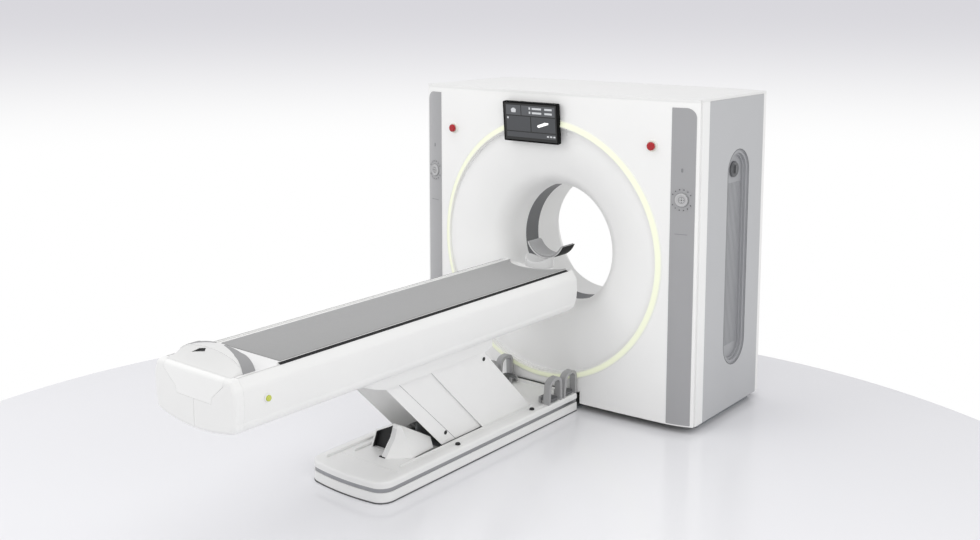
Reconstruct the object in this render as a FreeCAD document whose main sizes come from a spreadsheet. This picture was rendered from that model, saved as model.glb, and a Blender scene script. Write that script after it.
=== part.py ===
"""Computed tomography scanner: gantry with a turning tube and detector, and a patient table.

Millimetres. +X runs across the gantry, +Y along the bore away from the table, +Z is up.
The origin is the point of the floor straight under the isocentre, in the scan plane.
"""
import FreeCAD, Part
import math
import os
from FreeCAD import Vector, Placement, Rotation

doc = FreeCAD.newDocument("ct_scanner")
sheet = doc.addObject("Spreadsheet::Sheet", "Sizes")

DRIVING_SIZES = [
    ("gantry_width", 1940, "across the side covers"),
    ("gantry_height", 1850, "floor to roof"),
    ("front_depth", 225, "scan plane to the front corners"),
    ("rear_depth", 487, "scan plane to the rear corners"),
    ("axis_height", 925, "floor to the isocentre"),
    ("bore_radius", 360, "clear radius of the bore"),
    ("cover_wall", 6, "wall of every moulded cover"),
    ("cover_gap", 40, "floor to the covers' lower edge"),
    ("front_crown", 150, "front cover's middle, ahead of the front corners"),
    ("rear_crown", 92, "rear cover's middle, behind the rear corners"),
    ("sweep_radius", 10000, "plan radius of the front and rear covers"),
    ("bend_width", 160, "a cover's edge zone that bends back, across"),
    ("bend_radius", 450, "plan radius of that zone"),
    ("cover_return", 8, "front cover's edge, front to back"),
    ("cover_side_inset", 5, "front and rear covers, in from the side covers"),
    ("post_size", 32, "corner post, across"),
    ("post_lap", 25, "corner posts, behind the front corners and ahead of the rear ones"),
    ("post_groove", 6, "shadow groove between cover and post"),
    ("roof_thickness", 14, "roof panel"),
    ("ring_inset", 78, "light ring's middle, inside the turning disc's rim"),
    ("ring_width", 40, "band of the light ring"),
    ("ring_thickness", 14, "light ring, front to back"),
    ("funnel_depth", 181, "bore neck to the funnel's mouth"),
    ("funnel_neck", 165, "scan plane to the front neck"),
    ("rear_neck", 286, "scan plane to the rear neck"),
    ("rear_flare", 200, "rear funnel's mouth, wider than the bore by this radius"),
    ("window_half_width", 65, "half the scan window"),
    ("window_thickness", 3, "scan window's wall"),
    ("tunnel_wall", 5, "wall of the tunnel liners"),
    ("strip_margin", 20, "control strip's outer edge, in from the side cover"),
    ("strip_width", 130, "control strip"),
    ("strip_base", 48, "control strip's lower end"),
    ("strip_drop", 44, "roof to the control strip's upper end"),
    ("strip_proud", 2, "control strip's thickness"),
    ("dial_radius", 37, "control dial"),
    ("dial_height", 1308, "floor to the dial's middle"),
    ("dial_travel", 1.5, "control dial's stroke when pressed"),
    ("display_width", 392, "display, across"),
    ("display_tall", 236, "display, along its face"),
    ("display_thick", 26, "display, front to back"),
    ("display_shift", 78, "display's middle, left of the bore"),
    ("display_drop", 178, "roof to the display's middle"),
    ("display_tilt", 5, "degrees the display looks down"),
    ("estop_margin", 264, "emergency stop, in from the side cover"),
    ("estop_drop", 260, "roof to the emergency stops"),
    ("estop_radius", 23, "red head"),
    ("estop_travel", 5, "emergency stop's stroke"),
    ("vent_middle", 160, "side recess from the scan plane"),
    ("vent_half_width", 130, "half the side recess"),
    ("vent_base", 290, "side recess, lower end"),
    ("vent_drop", 307, "roof to the side recess's upper end"),
    ("vent_depth", 34, "side recess, into the cover"),
    ("vent_slots", 5, "grooves on each side of the middle"),
    ("lock_drop", 118, "side recess's upper end to the lock"),
    ("lock_radius", 46, "side lock's knob"),
    ("side_room", 135, "turning disc to the side covers' outside"),
    ("roof_room", 90, "turning disc to the roof or to the floor"),
    ("bore_room", 35, "hole of the turning disc, outside the bore"),
    ("rotor_face", 150, "scan plane to the disc's front"),
    ("rotor_thick", 25, "turning disc"),
    ("hub_wall", 24, "wall of the turning hub"),
    ("bearing_width", 30, "main bearing along the bore"),
    ("bearing_wall", 18, "section of one bearing race"),
    ("bearing_gap", 9, "space for the rollers between the races"),
    ("stator_face", 250, "scan plane to the stator plate"),
    ("stator_thick", 36, "stator plate"),
    ("slip_ring_width", 125, "slip ring, across its band"),
    ("slip_ring_thick", 22, "slip ring"),
    ("run_gap", 0.4, "running gap beside a turning part"),
    ("table_half_width", 275, "half the table housing"),
    ("table_top", 845, "floor to the tabletop, at rest"),
    ("table_side_top", 800, "floor to the foot of the sloping rail"),
    ("table_side_base", 617, "floor to the housing's lower corner"),
    ("table_belly", 584, "floor to the middle of the belly"),
    ("table_foot", 2870, "scan plane to the foot end"),
    ("table_head", 430, "scan plane to the head end"),
    ("table_wall", 8, "wall of the table housing"),
    ("foot_cap", 44, "end cap along the table"),
    ("head_round", 120, "rounding under the head end"),
    ("cradle_half_width", 235, "half the sliding tabletop"),
    ("cradle_thick", 40, "sliding tabletop"),
    ("cradle_slot", 7, "black gap beside the tabletop"),
    ("mattress_half_width", 202, "half the mattress"),
    ("mattress_foot", 2570, "scan plane to the mattress's foot"),
    ("mattress_thick", 14, "mattress"),
    ("hoop_middle", 2750, "scan plane to the pull hoop"),
    ("hoop_width", 70, "pull hoop along the table"),
    ("hoop_half_span", 218, "half the pull hoop"),
    ("hoop_rise", 74, "pull hoop above the tabletop"),
    ("hoop_thick", 24, "pull hoop's section"),
    ("holder_radius", 126, "inside of the head cup"),
    ("holder_length", 130, "head cup along the table"),
    ("holder_lip", 948, "floor to the head cup's lips"),
    ("holder_half_width", 120, "half the head cup"),
    ("base_half_width", 258, "half the table base"),
    ("base_foot", 2030, "scan plane to the base's foot"),
    ("base_head", 392, "scan plane to the base's end at the gantry"),
    ("base_top", 108, "floor to the rim of the base"),
    ("base_corner", 80, "plan radius of the base's corners"),
    ("base_bow", 1200, "plan radius of the base's foot end"),
    ("band_low", 54, "floor to the trim band"),
    ("band_high", 76, "floor to the top of the trim band"),
    ("deck_drop", 12, "tray, below the rim"),
    ("rim_width", 46, "rim round the tray"),
    ("floor_plate", 10, "steel plate on the floor"),
    ("arm_pivot_low", 130, "floor to the lower pivots"),
    ("arm_pivot_high", 550, "floor to the upper pivots"),
    ("foot_pivot", 1355, "scan plane to the foot arm's lower pivot"),
    ("pivot_spacing", 320, "between the two arms' pivots"),
    ("arm_depth", 60, "arm's bar, across its length"),
    ("arm_bar", 30, "arm's bar, across the table"),
    ("arm_outside", 135, "outside of the arms from the middle"),
    ("pin_radius", 14, "pivot pins"),
    ("pin_clearance", 0.05, "radial clearance of the pins"),
    ("bracket_wall", 12, "pivot brackets"),
    ("panel_wall", 6, "side panels over the arms"),
    ("panel_inner", 141, "inner side panel from the middle"),
    ("panel_outer", 151, "outer side panel from the middle"),
    ("panel_low_edge", 92, "side panel below its arm"),
    ("panel_high_edge", 209, "side panel above its arm"),
    ("deck_slot", 164, "half the opening in the tray"),
    ("guard_tall", 150, "pedal guard above the tray"),
    ("guard_wide", 134, "pedal guard along the base"),
    ("guard_bar", 17, "pedal guard's section"),
    ("guard_deep", 40, "pedal guard across the base"),
    ("pedal_length", 74, "foot pedal, across the base"),
    ("pedal_wide", 84, "foot pedal, along the base"),
    ("pedal_thick", 14, "foot pedal"),
    ("pedal_pin", 3, "pedal hinge pin, radius"),
    ("release_radius", 13, "table release button"),
    ("release_travel", 4, "table release button's stroke"),
]


class Size:
    """A number that keeps the formula it came from, so that a property can be bound to it."""

    def __init__(self, value, text):
        self.value = float(value)
        self.text = text

    def __float__(self):
        return self.value

    def __neg__(self):
        return Size(-self.value, f"(-{self.text})")

    def joined(self, other, sign, value, flip=False):
        left, right = (formula(other), self.text) if flip else (self.text, formula(other))
        return Size(value, f"({left} {sign} {right})")

    def __add__(self, other):
        return self.joined(other, "+", self.value + float(other))

    def __radd__(self, other):
        return self.joined(other, "+", self.value + float(other), True)

    def __sub__(self, other):
        return self.joined(other, "-", self.value - float(other))

    def __rsub__(self, other):
        return self.joined(other, "-", float(other) - self.value, True)

    def __mul__(self, other):
        return self.joined(other, "*", self.value * float(other))

    def __rmul__(self, other):
        return self.joined(other, "*", self.value * float(other), True)

    def __truediv__(self, other):
        return self.joined(other, "/", self.value / float(other))


def smallest(*sizes):
    """The least of several sizes."""
    return Size(min(float(size) for size in sizes), "min(" + "; ".join(size.text for size in sizes) + ")")


def formula(number):
    return number.text if isinstance(number, Size) else repr(float(number))


for row, (name, value, note) in enumerate(DRIVING_SIZES, 1):
    sheet.set(f"A{row}", name)
    sheet.set(f"B{row}", str(value))
    sheet.set(f"C{row}", note)
    sheet.setAlias(f"B{row}", name)
doc.recompute()
S = {name: Size(getattr(sheet, name), f"Sizes.{name}") for name, value, note in DRIVING_SIZES}

# sizes that follow from the driving ones
S["rotor_radius"] = smallest(S["gantry_width"] / 2 - S["side_room"],
                             S["gantry_height"] - S["axis_height"] - S["roof_room"],
                             S["axis_height"] - S["roof_room"])
S["rotor_bore"] = S["bore_radius"] + S["bore_room"]
S["ring_radius"] = S["rotor_radius"] - S["ring_inset"]
S["rotor_span"] = S["rotor_radius"] - S["rotor_bore"]
S["bend_start"] = S["gantry_width"] / 2 - S["cover_side_inset"] - S["bend_width"]
S["slip_ring_radius"] = S["rotor_bore"] + S["slip_ring_width"]
S["rear_mouth_radius"] = S["bore_radius"] + S["rear_flare"]
S["strip_outer"] = S["gantry_width"] / 2 - S["strip_margin"]
S["strip_inner"] = S["strip_outer"] - S["strip_width"]
S["strip_top"] = S["gantry_height"] - S["strip_drop"]
S["display_height"] = S["gantry_height"] - S["display_drop"]
S["estop_spread"] = S["gantry_width"] / 2 - S["estop_margin"]
S["estop_height"] = S["gantry_height"] - S["estop_drop"]
S["vent_top"] = S["gantry_height"] - S["vent_drop"]
S["lock_height"] = S["vent_top"] - S["lock_drop"]
N = {name: float(size) for name, size in S.items()}

pieces = []


def bind(obj, prop, number):
    """Sets a property, by formula where the number has one."""
    if isinstance(number, Size):
        obj.setExpression(prop, number.text)
    else:
        owner, field = obj, prop
        if prop.startswith("Placement.Base."):
            place = obj.Placement
            setattr(place.Base, prop[-1], float(number))
            obj.Placement = place
        else:
            setattr(owner, field, float(number))


def put(obj, place, rotation=None):
    """Places an object: rotation first, then each coordinate by its own formula."""
    obj.Placement = Placement(Vector(*[float(c) for c in place]), rotation or Rotation())
    for axis, number in zip("xyz", place):
        if isinstance(number, Size):
            bind(obj, f"Placement.Base.{axis}", number)
    return obj


def keep(obj, label):
    """Marks an object as a finished piece, written to a file of that name."""
    obj.Label = label
    pieces.append(obj)
    return obj


def box(x, y, z):
    """A block between two values on each axis."""
    obj = doc.addObject("Part::Box", "block")
    for prop, (low, high) in zip(("Length", "Width", "Height"), (x, y, z)):
        bind(obj, prop, high - low)
    return put(obj, (x[0], y[0], z[0]))


TURN = {"x": Rotation(Vector(0, 1, 0), 90), "y": Rotation(Vector(1, 0, 0), -90), "z": Rotation()}


def rod(axis, radius, start, end, at):
    """A cylinder along an axis, from start to end; at gives the other two coordinates in order."""
    obj = doc.addObject("Part::Cylinder", "rod")
    bind(obj, "Radius", radius)
    bind(obj, "Height", end - start)
    place = list(at)
    place.insert("xyz".index(axis), start)
    return put(obj, place, TURN[axis])


def cut(base, *tools):
    for tool in tools:
        obj = doc.addObject("Part::Cut", "cut")
        obj.Base, obj.Tool = base, tool
        base = obj
    return base


def fuse(*parts):
    obj = doc.addObject("Part::MultiFuse", "joined")
    obj.Shapes = list(parts)
    return obj


def group(*parts):
    """Separate solids that share a node."""
    obj = doc.addObject("Part::Compound", "group")
    obj.Links = list(parts)
    return obj


def mirrored(source):
    """The same piece on the other side of the middle plane."""
    obj = doc.addObject("Part::Mirroring", "mirrored")
    obj.Source = source
    obj.Base = Vector(0, 0, 0)
    obj.Normal = Vector(1, 0, 0)
    return obj


def shaped(shape, name="form"):
    """A piece whose shape is worked out from the sizes by this file."""
    obj = doc.addObject("Part::Feature", name)
    obj.Shape = shape
    return obj


def origin_plane(body, role):
    return next(f for f in body.Origin.OriginFeatures if f.Role == role)


def outline_sketch(body, role, corners):
    """A closed sketch of straight lines whose corners are held by formulas from the origin."""
    sketch = body.newObject("Sketcher::SketchObject", "outline")
    sketch.AttachmentSupport = [(origin_plane(body, role), "")]
    sketch.MapMode = "FlatFace"
    points = [Vector(float(a), float(b), 0) for a, b in corners]
    count = len(points)
    for i in range(count):
        sketch.addGeometry(Part.LineSegment(points[i], points[(i + 1) % count]), False)
    import Sketcher
    for i in range(count):
        sketch.addConstraint(Sketcher.Constraint("Coincident", i, 2, (i + 1) % count, 1))
    for i, corner in enumerate(corners):
        for kind, on_axis, number in (("DistanceX", -2, corner[0]), ("DistanceY", -1, corner[1])):
            if abs(float(number)) < 1e-9:
                sketch.addConstraint(Sketcher.Constraint("PointOnObject", i, 1, on_axis))
                continue
            index = sketch.addConstraint(Sketcher.Constraint(kind, -1, 1, i, 1, float(number)))
            if isinstance(number, Size):
                sketch.setExpression(f"Constraints[{index}]", number.text)
    return sketch


def turned(corners, place=(0, 0, 0), rotation=None):
    """A turned piece: corners are (radius, distance along +Y)."""
    body = doc.addObject("PartDesign::Body", "turned")
    sketch = outline_sketch(body, "XY_Plane", corners)
    spin = body.newObject("PartDesign::Revolution", "spin")
    spin.Profile = sketch
    spin.ReferenceAxis = (sketch, ["V_Axis"])
    spin.Angle = 360
    return put(body, place, rotation)


# ---- outlines with arcs, shared by the moulded pieces ----

def arc_wire(items):
    """A closed wire from points and (through, end) arcs, starting at the first point."""
    edges = []
    here = items[0]
    for item in items[1:] + [items[0]]:
        if isinstance(item, tuple):
            edges.append(Part.Arc(here, item[0], item[1]).toShape())
            here = item[1]
        elif (item - here).Length > 1e-6:
            edges.append(Part.LineSegment(here, item).toShape())
            here = item
    return Part.Wire(edges)


def rounded_outline(corners):
    """Corners are (point, radius): the closed wire with each corner rounded by its radius."""
    items = []
    count = len(corners)
    for i, (point, radius) in enumerate(corners):
        before = (corners[i - 1][0] - point).normalize()
        after = (corners[(i + 1) % count][0] - point).normalize()
        if radius <= 0:
            items.append(point)
            continue
        half = before.getAngle(after) / 2
        reach = radius / math.tan(half)
        middle = (before + after).normalize()
        centre = point + middle * (radius / math.sin(half))
        items.append(point + before * reach)
        items.append((centre - middle * radius, point + after * reach))
    return arc_wire(items)


def prism(wire, along):
    return Part.Face(wire).extrude(along)


def side_prism(corners, x_low, x_high):
    """A solid with an outline in the plane of Y and Z; corners are (y, z, radius)."""
    wire = rounded_outline([(Vector(x_low, y, z), r) for y, z, r in corners])
    return prism(wire, Vector(x_high - x_low, 0, 0))


def plan_prism(corners, z_low, z_high):
    """A solid with an outline seen from above; corners are (x, y, radius)."""
    wire = rounded_outline([(Vector(x, y, z_low), r) for x, y, r in corners])
    return prism(wire, Vector(0, 0, z_high - z_low))


def front_prism(corners, y_low, y_high):
    """A solid with an outline seen from the front; corners are (x, z, radius)."""
    wire = rounded_outline([(Vector(x, y_low, z), r) for x, z, r in corners])
    return prism(wire, Vector(0, y_high - y_low, 0))


def solid_box(x, y, z):
    return Part.makeBox(x[1] - x[0], y[1] - y[0], z[1] - z[0], Vector(x[0], y[0], z[0]))


def solid_rod(radius, start, end, place):
    """A solid cylinder along Y at (x, z)."""
    return Part.makeCylinder(radius, end - start, Vector(place[0], start, place[1]), Vector(0, 1, 0))


def solid_turned(items, place):
    """A solid turned about the Y direction through place; items are points and arcs in (radius, y)."""
    flat = []
    for item in items:
        points = item if isinstance(item, tuple) and isinstance(item[0], tuple) else (item,)
        vectors = tuple(Vector(r, y, 0) for r, y in points)
        flat.append(vectors if len(vectors) > 1 else vectors[0])
    shape = Part.Face(arc_wire(flat)).revolve(Vector(0, 0, 0), Vector(0, 1, 0), 360)
    shape.translate(place)
    return shape


# ---- gantry covers ----

half_width = N["gantry_width"] / 2
cover_half_width = half_width - N["cover_side_inset"]
rear_back_edge = N["rear_depth"] + 3
bore_axis = Vector(0, 0, N["axis_height"])


bend_turn = math.asin(N["bend_start"] / N["sweep_radius"])
bend_x = (N["sweep_radius"] - N["bend_radius"]) * math.sin(bend_turn)
bend_drop = N["sweep_radius"] - (N["sweep_radius"] - N["bend_radius"]) * math.cos(bend_turn)


def swept_plan(sign, offset, inner_edge, z):
    """Plan outline of the front (sign -1) or rear (sign +1) cover, grown outwards by offset.

    A shallow arc across the middle runs smoothly into a tighter one at each edge.
    """
    crown = N["front_depth"] + N["front_crown"] if sign < 0 else N["rear_depth"] + N["rear_crown"]
    bend_y = crown - bend_drop
    reach = N["bend_radius"] + offset
    edge = cover_half_width + offset
    end = math.asin((edge - bend_x) / reach)

    def at(x, y):
        return Vector(x, sign * y, z)

    def bend(angle):
        return bend_x + reach * math.sin(angle), bend_y + reach * math.cos(angle)
    tip, mid, corner = bend(bend_turn), bend((bend_turn + end) / 2), bend(end)
    return arc_wire([
        at(edge, abs(inner_edge)),
        at(*corner),
        (at(*mid), at(*tip)),
        (at(0, crown + offset), at(-tip[0], tip[1])),
        (at(-mid[0], mid[1]), at(-corner[0], corner[1])),
        at(-edge, abs(inner_edge)),
    ])


def cover_face(x):
    """How far in front of the scan plane the front cover stands at x."""
    crown = N["front_depth"] + N["front_crown"]
    if abs(x) > N["bend_start"]:
        return crown - bend_drop + math.sqrt(N["bend_radius"] ** 2 - (abs(x) - bend_x) ** 2)
    return crown - N["sweep_radius"] + math.sqrt(N["sweep_radius"] ** 2 - x * x)


front_back_edge = -cover_face(cover_half_width) + N["cover_return"]
roof_under = N["gantry_height"] - N["roof_thickness"] - 0.5


def cover_block(sign, offset, inner_edge, z_low, z_high):
    """The full block under a swept cover."""
    return prism(swept_plan(sign, offset, inner_edge, z_low), Vector(0, 0, z_high - z_low))


def swept_cover(sign, inner_edge):
    wall, low = N["cover_wall"], N["cover_gap"]
    outer = cover_block(sign, 0, inner_edge, low, roof_under)
    inner = cover_block(sign, -wall, inner_edge, low - 1, roof_under - wall)
    extra = cover_block(sign, -wall, inner_edge - sign, low - 1, low + 1)
    return outer.cut(inner).cut(extra)


def base_notch(grow):
    """Room for the table base where it runs under the front cover."""
    return solid_box((-N["base_half_width"] - grow, N["base_half_width"] + grow), (-600, 0),
                     (-1, N["base_top"] + grow))


ring_out = N["ring_radius"] + N["ring_width"] / 2
ring_in = N["ring_radius"] - N["ring_width"] / 2
front_far = -N["front_depth"] - N["front_crown"] - 20

# front cover: a convex shell with a round opening for the light ring
front_shell = swept_cover(-1, front_back_edge)
front_shell = front_shell.cut(solid_rod(ring_out + 0.3, front_far, 0, (0, N["axis_height"])))
front_shell = front_shell.cut(base_notch(6))
keep(shaped(front_shell), "front_cover")

# light ring: a band of the cover's own curve, a little proud
ring_tube = solid_rod(ring_out, front_far, 0, (0, N["axis_height"])).cut(
    solid_rod(ring_in, front_far - 1, 1, (0, N["axis_height"])))
ring_skin = prism(swept_plan(-1, 1.5, front_back_edge, 0), Vector(0, 0, N["gantry_height"])).cut(
    prism(swept_plan(-1, 1.5 - N["ring_thickness"], front_back_edge + 1, -1),
          Vector(0, 0, N["gantry_height"] + 2)))
keep(shaped(ring_tube.common(ring_skin)), "light_ring")

# front funnel: a trumpet from the ring into the bore, with a rim that meets the ring
wall = N["tunnel_wall"]
neck_y = -N["funnel_neck"]
mouth_y = neck_y - N["funnel_depth"]
mouth_radius = ring_in - 0.3


def trumpet():
    """Front liner: a tube, a flare that follows a quarter ellipse and a rim; plain cones behind."""
    neck, mouth = N["bore_radius"], mouth_radius - wall

    def flare(angle):
        return (mouth + (neck - mouth) * math.cos(angle), neck_y + (mouth_y - neck_y) * math.sin(angle))
    eighth = math.pi / 8
    behind = mouth_y + N["funnel_depth"] * 0.42
    return solid_turned([
        (neck, -N["window_half_width"]), flare(0), (flare(eighth), flare(2 * eighth)),
        (flare(3 * eighth), flare(4 * eighth)), (mouth, front_far), (mouth_radius, front_far),
        (mouth_radius, mouth_y + wall), ((neck + mouth) / 2, behind), (neck + wall, neck_y + wall),
        (neck + wall, -N["window_half_width"]),
    ], bore_axis)


funnel = trumpet().common(prism(swept_plan(-1, 0, 0, 0), Vector(0, 0, N["gantry_height"])))
keep(shaped(funnel), "front_funnel")

# scan window: a thin dark ring at the scan plane, let in between the two liners
window = turned([
    (S["bore_radius"], -S["window_half_width"] + 0.3),
    (S["bore_radius"] + S["window_thickness"], -S["window_half_width"] + 0.3),
    (S["bore_radius"] + S["window_thickness"], S["window_half_width"] - 0.3),
    (S["bore_radius"], S["window_half_width"] - 0.3),
], (0, 0, S["axis_height"]))
keep(window, "scan_window")

# rear cover and rear funnel
rear_shell = swept_cover(1, rear_back_edge)
rear_far = N["rear_depth"] + N["rear_crown"] + 20
rear_shell = rear_shell.cut(solid_rod(N["rear_mouth_radius"] + 0.3, 0, rear_far, (0, N["axis_height"])))
keep(shaped(rear_shell), "rear_cover")
neck, mouth = N["bore_radius"], N["rear_mouth_radius"]
rear_funnel = solid_turned([
    (neck, N["window_half_width"]), (neck, N["rear_neck"]),
    (mouth - wall, rear_far - 40), (mouth - wall, rear_far),
    (mouth, rear_far), (mouth, rear_far - 40 - wall), (neck + wall, N["rear_neck"] - wall / 2),
    (neck + wall, N["window_half_width"]),
], bore_axis)
rear_funnel = rear_funnel.common(prism(swept_plan(1, 0, 0, 0), Vector(0, 0, N["gantry_height"])))
keep(shaped(rear_funnel), "rear_funnel")

# roof, corner posts and side covers
def roof_lid():
    """Flat lid whose outline follows both covers and the posts between them."""
    low, high = N["gantry_height"] - N["roof_thickness"], N["gantry_height"]
    middle = solid_box((-half_width + 2, half_width - 2), (front_back_edge + 3, N["rear_depth"]), (low, high))
    ends = [cover_block(sign, 0, edge, low, high)
            for sign, edge in ((-1, front_back_edge), (1, rear_back_edge - 3))]
    return middle.fuse(ends)


keep(shaped(roof_lid()), "roof_panel")


def corner_post(sign):
    """One post: a square tube with a shadow groove beside the swept cover."""
    if sign < 0:
        face = -front_back_edge - 3
        near, far = -face, -S["front_depth"] + S["post_lap"]
    else:
        face = N["rear_depth"]
        near, far = S["rear_depth"] - S["post_lap"], S["rear_depth"]
    side = S["gantry_width"] / 2
    tube = box((side - S["post_size"], side), (near, far),
               (S["cover_gap"], S["gantry_height"] - S["roof_thickness"]))
    groove_near = -face if sign < 0 else face - N["post_groove"]
    groove = box((side - 8, side + 1), (groove_near, groove_near + N["post_groove"]),
                 (S["cover_gap"] - 1, S["gantry_height"]))
    tongue_near = -face - 3 if sign < 0 else face
    tongue = box((side - S["post_size"], side - 9), (tongue_near, tongue_near + 3),
                 (S["cover_gap"], S["gantry_height"] - 40))
    return fuse(cut(tube, groove), tongue)


right_posts = [corner_post(-1), corner_post(1)]
keep(group(*right_posts, *[mirrored(post) for post in right_posts]), "corner_posts")


def stadium(half, low, high, x_low, x_high, middle):
    return side_prism([(middle - half, low, half * 0.98), (middle + half, low, half * 0.98),
                       (middle + half, high, half * 0.98), (middle - half, high, half * 0.98)],
                      x_low, x_high)


vent_y = N["vent_middle"]
side_low, side_high = N["cover_gap"], roof_under
side_front = -N["front_depth"] + N["post_lap"] + 0.5
side_rear = N["rear_depth"] - N["post_lap"] - 0.5
side_plate = side_prism([(side_front, side_low, 4), (side_rear, side_low, 4), (side_rear, side_high, 4),
                         (side_front, side_high, 4)], half_width - N["cover_wall"], half_width)
side_plate = side_plate.cut(stadium(N["vent_half_width"], N["vent_base"], N["vent_top"],
                                    half_width - 60, half_width + 10, vent_y))
side_right = shaped(side_plate)
keep(group(side_right, mirrored(side_right)), "side_covers")


def vent_pan():
    """Recessed pan of the side cover: a dished wall whose floor has upright grooves."""
    half, low, high = N["vent_half_width"] - 0.3, N["vent_base"] + 0.3, N["vent_top"] - 0.3
    depth = N["vent_depth"]
    body = stadium(half, low, high, half_width - depth - 5, half_width - 0.5, vent_y)
    floor_half = half - 34
    body = body.cut(stadium(half - 5, low + 5, high - 5, half_width - 8, half_width + 5, vent_y))
    body = body.cut(stadium(floor_half + 12, low + 22, high - 22, half_width - 22, half_width + 5, vent_y))
    body = body.cut(stadium(floor_half, low + 34, high - 34, half_width - depth, half_width + 5, vent_y))
    pitch = floor_half / (N["vent_slots"] + 1)
    for i in range(-int(N["vent_slots"]), int(N["vent_slots"]) + 1):
        y = vent_y + i * pitch
        slot_high = N["lock_height"] - N["lock_radius"] - 30
        body = body.cut(solid_box((half_width - depth - 3, half_width), (y - 3, y + 3), (low + 110, slot_high)))
    return body


pan_right = shaped(vent_pan())
keep(group(pan_right, mirrored(pan_right)), "side_recess_pans")

# side lock: a quarter-turn knob with a grip bar, on the pan's floor
lock_face = S["gantry_width"] / 2 - S["vent_depth"]
lock_knob = turned([
    (0, 0), (S["lock_radius"], 0), (S["lock_radius"], 9), (S["lock_radius"] - 6, 15),
    (S["lock_radius"] * 0.6, 11), (0, 11),
], (lock_face + 0.3, S["vent_middle"], S["lock_height"]), Rotation(Vector(0, 0, 1), -90))
lock_bar = box((lock_face + 5, lock_face + 22), (S["vent_middle"] - 9, S["vent_middle"] + 9),
               (S["lock_height"] - S["lock_radius"] * 0.5, S["lock_height"] + S["lock_radius"] * 0.5))
lock_right = keep(fuse(lock_knob, lock_bar), "side_lock_right")
keep(mirrored(lock_right), "side_lock_left")


# ---- controls and display on the front cover ----

def control_strip():
    skin = prism(swept_plan(-1, N["strip_proud"], front_back_edge, 0), Vector(0, 0, N["gantry_height"])).cut(
        prism(swept_plan(-1, 0, front_back_edge + 1, -1), Vector(0, 0, N["gantry_height"] + 2)))
    field = front_prism([(N["strip_inner"], N["strip_base"], 3), (N["strip_outer"], N["strip_base"], 3),
                         (N["strip_outer"], N["strip_top"], 54), (N["strip_inner"], N["strip_top"], 3)],
                        front_far, front_back_edge)
    dial_hole = solid_rod(N["dial_radius"] + N["run_gap"], front_far, front_back_edge,
                          (dial_x, N["dial_height"]))
    return skin.common(field).cut(dial_hole)


dial_x = (N["strip_inner"] + N["strip_outer"]) / 2 - 4
strip_right = shaped(control_strip())


def on_front(body, x, z, proud):
    """Stands a turned piece on the front cover, its axis square to the curve there."""
    slope = (x - bend_x) / N["bend_radius"] if x > N["bend_start"] else x / N["sweep_radius"]
    lean = math.degrees(math.asin(slope))
    body.Placement = Placement(Vector(x, -cover_face(x) - proud, z),
                               Rotation(Vector(0, 0, 1), lean) * Rotation(Vector(0, 0, 1), 180))
    return body


dial_right = on_front(turned([
    (0, 0), (S["dial_radius"], 0), (S["dial_radius"], 5), (S["dial_radius"] - 4, 8),
    (S["dial_radius"] - 10, 8), (S["dial_radius"] - 12, 5), (0, 5),
]), dial_x, N["dial_height"], N["dial_travel"] + 0.3)
keep(dial_right, "control_dial_right")
keep(mirrored(dial_right), "control_dial_left")


def key_arcs():
    """Two arcs of small square keys, above and below the dial."""
    keys = []
    for side in (1, -1):
        for i in range(5):
            angle = math.radians(90 + (i - 2) * 27)
            x = dial_x + 56 * math.cos(angle)
            z = N["dial_height"] + side * 58 * math.sin(angle)
            key = solid_box((-6, 6), (-2.3, 0), (-6, 6))
            key.Placement = Placement(Vector(x, -cover_face(x) - N["strip_proud"] - 0.1, z),
                                      Rotation(Vector(0, 0, 1), math.degrees(math.asin(x / N["sweep_radius"]))))
            keys.append(key)
    return Part.Compound(keys)


keys_right = shaped(key_arcs())
keep(group(strip_right, keys_right, mirrored(strip_right), mirrored(keys_right)), "control_strips")

# display: a bezel with a glass let in, leaning to look down at the operator
tilt = Rotation(Vector(1, 0, 0), N["display_tilt"])
screen_wide, screen_tall, screen_thick = N["display_width"], N["display_tall"], N["display_thick"]
display_at = Vector(-N["display_shift"], -cover_face(0) - 6, N["display_height"])


def in_display(shape):
    shape.Placement = Placement(display_at, tilt)
    return shape


bezel = front_prism([(-screen_wide / 2, -screen_tall / 2, 8), (screen_wide / 2, -screen_tall / 2, 8),
                     (screen_wide / 2, screen_tall / 2, 8), (-screen_wide / 2, screen_tall / 2, 8)],
                    -screen_thick, 0)
glass_margin = 9
glass_cut = front_prism([(-screen_wide / 2 + glass_margin, -screen_tall / 2 + glass_margin, 3),
                         (screen_wide / 2 - glass_margin, -screen_tall / 2 + glass_margin, 3),
                         (screen_wide / 2 - glass_margin, screen_tall / 2 - glass_margin, 3),
                         (-screen_wide / 2 + glass_margin, screen_tall / 2 - glass_margin, 3)],
                        -screen_thick - 1, -screen_thick + 4)
bezel = bezel.cut(glass_cut)
bezel = in_display(bezel)
glass_inset = glass_margin + 0.3
glass = front_prism([(-screen_wide / 2 + glass_inset, -screen_tall / 2 + glass_inset, 2.7),
                     (screen_wide / 2 - glass_inset, -screen_tall / 2 + glass_inset, 2.7),
                     (screen_wide / 2 - glass_inset, screen_tall / 2 - glass_inset, 2.7),
                     (-screen_wide / 2 + glass_inset, screen_tall / 2 - glass_inset, 2.7)],
                    -screen_thick + 0.5, -screen_thick + 4)
keep(shaped(in_display(glass)), "display_glass")
foot_wide, foot_tall = screen_wide * 0.5, screen_tall * 0.6
mount_block = solid_box((-N["display_shift"] - foot_wide / 2, -N["display_shift"] + foot_wide / 2),
                        (-cover_face(0) - 60, -cover_face(0) + 60),
                        (N["display_height"] - foot_tall / 2, N["display_height"] + foot_tall / 2))
mount_back = prism(swept_plan(-1, 60, 0, 0), Vector(0, 0, N["gantry_height"])).cut(
    prism(swept_plan(-1, 1.5, 1, -1), Vector(0, 0, N["gantry_height"] + 2)))
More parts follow.
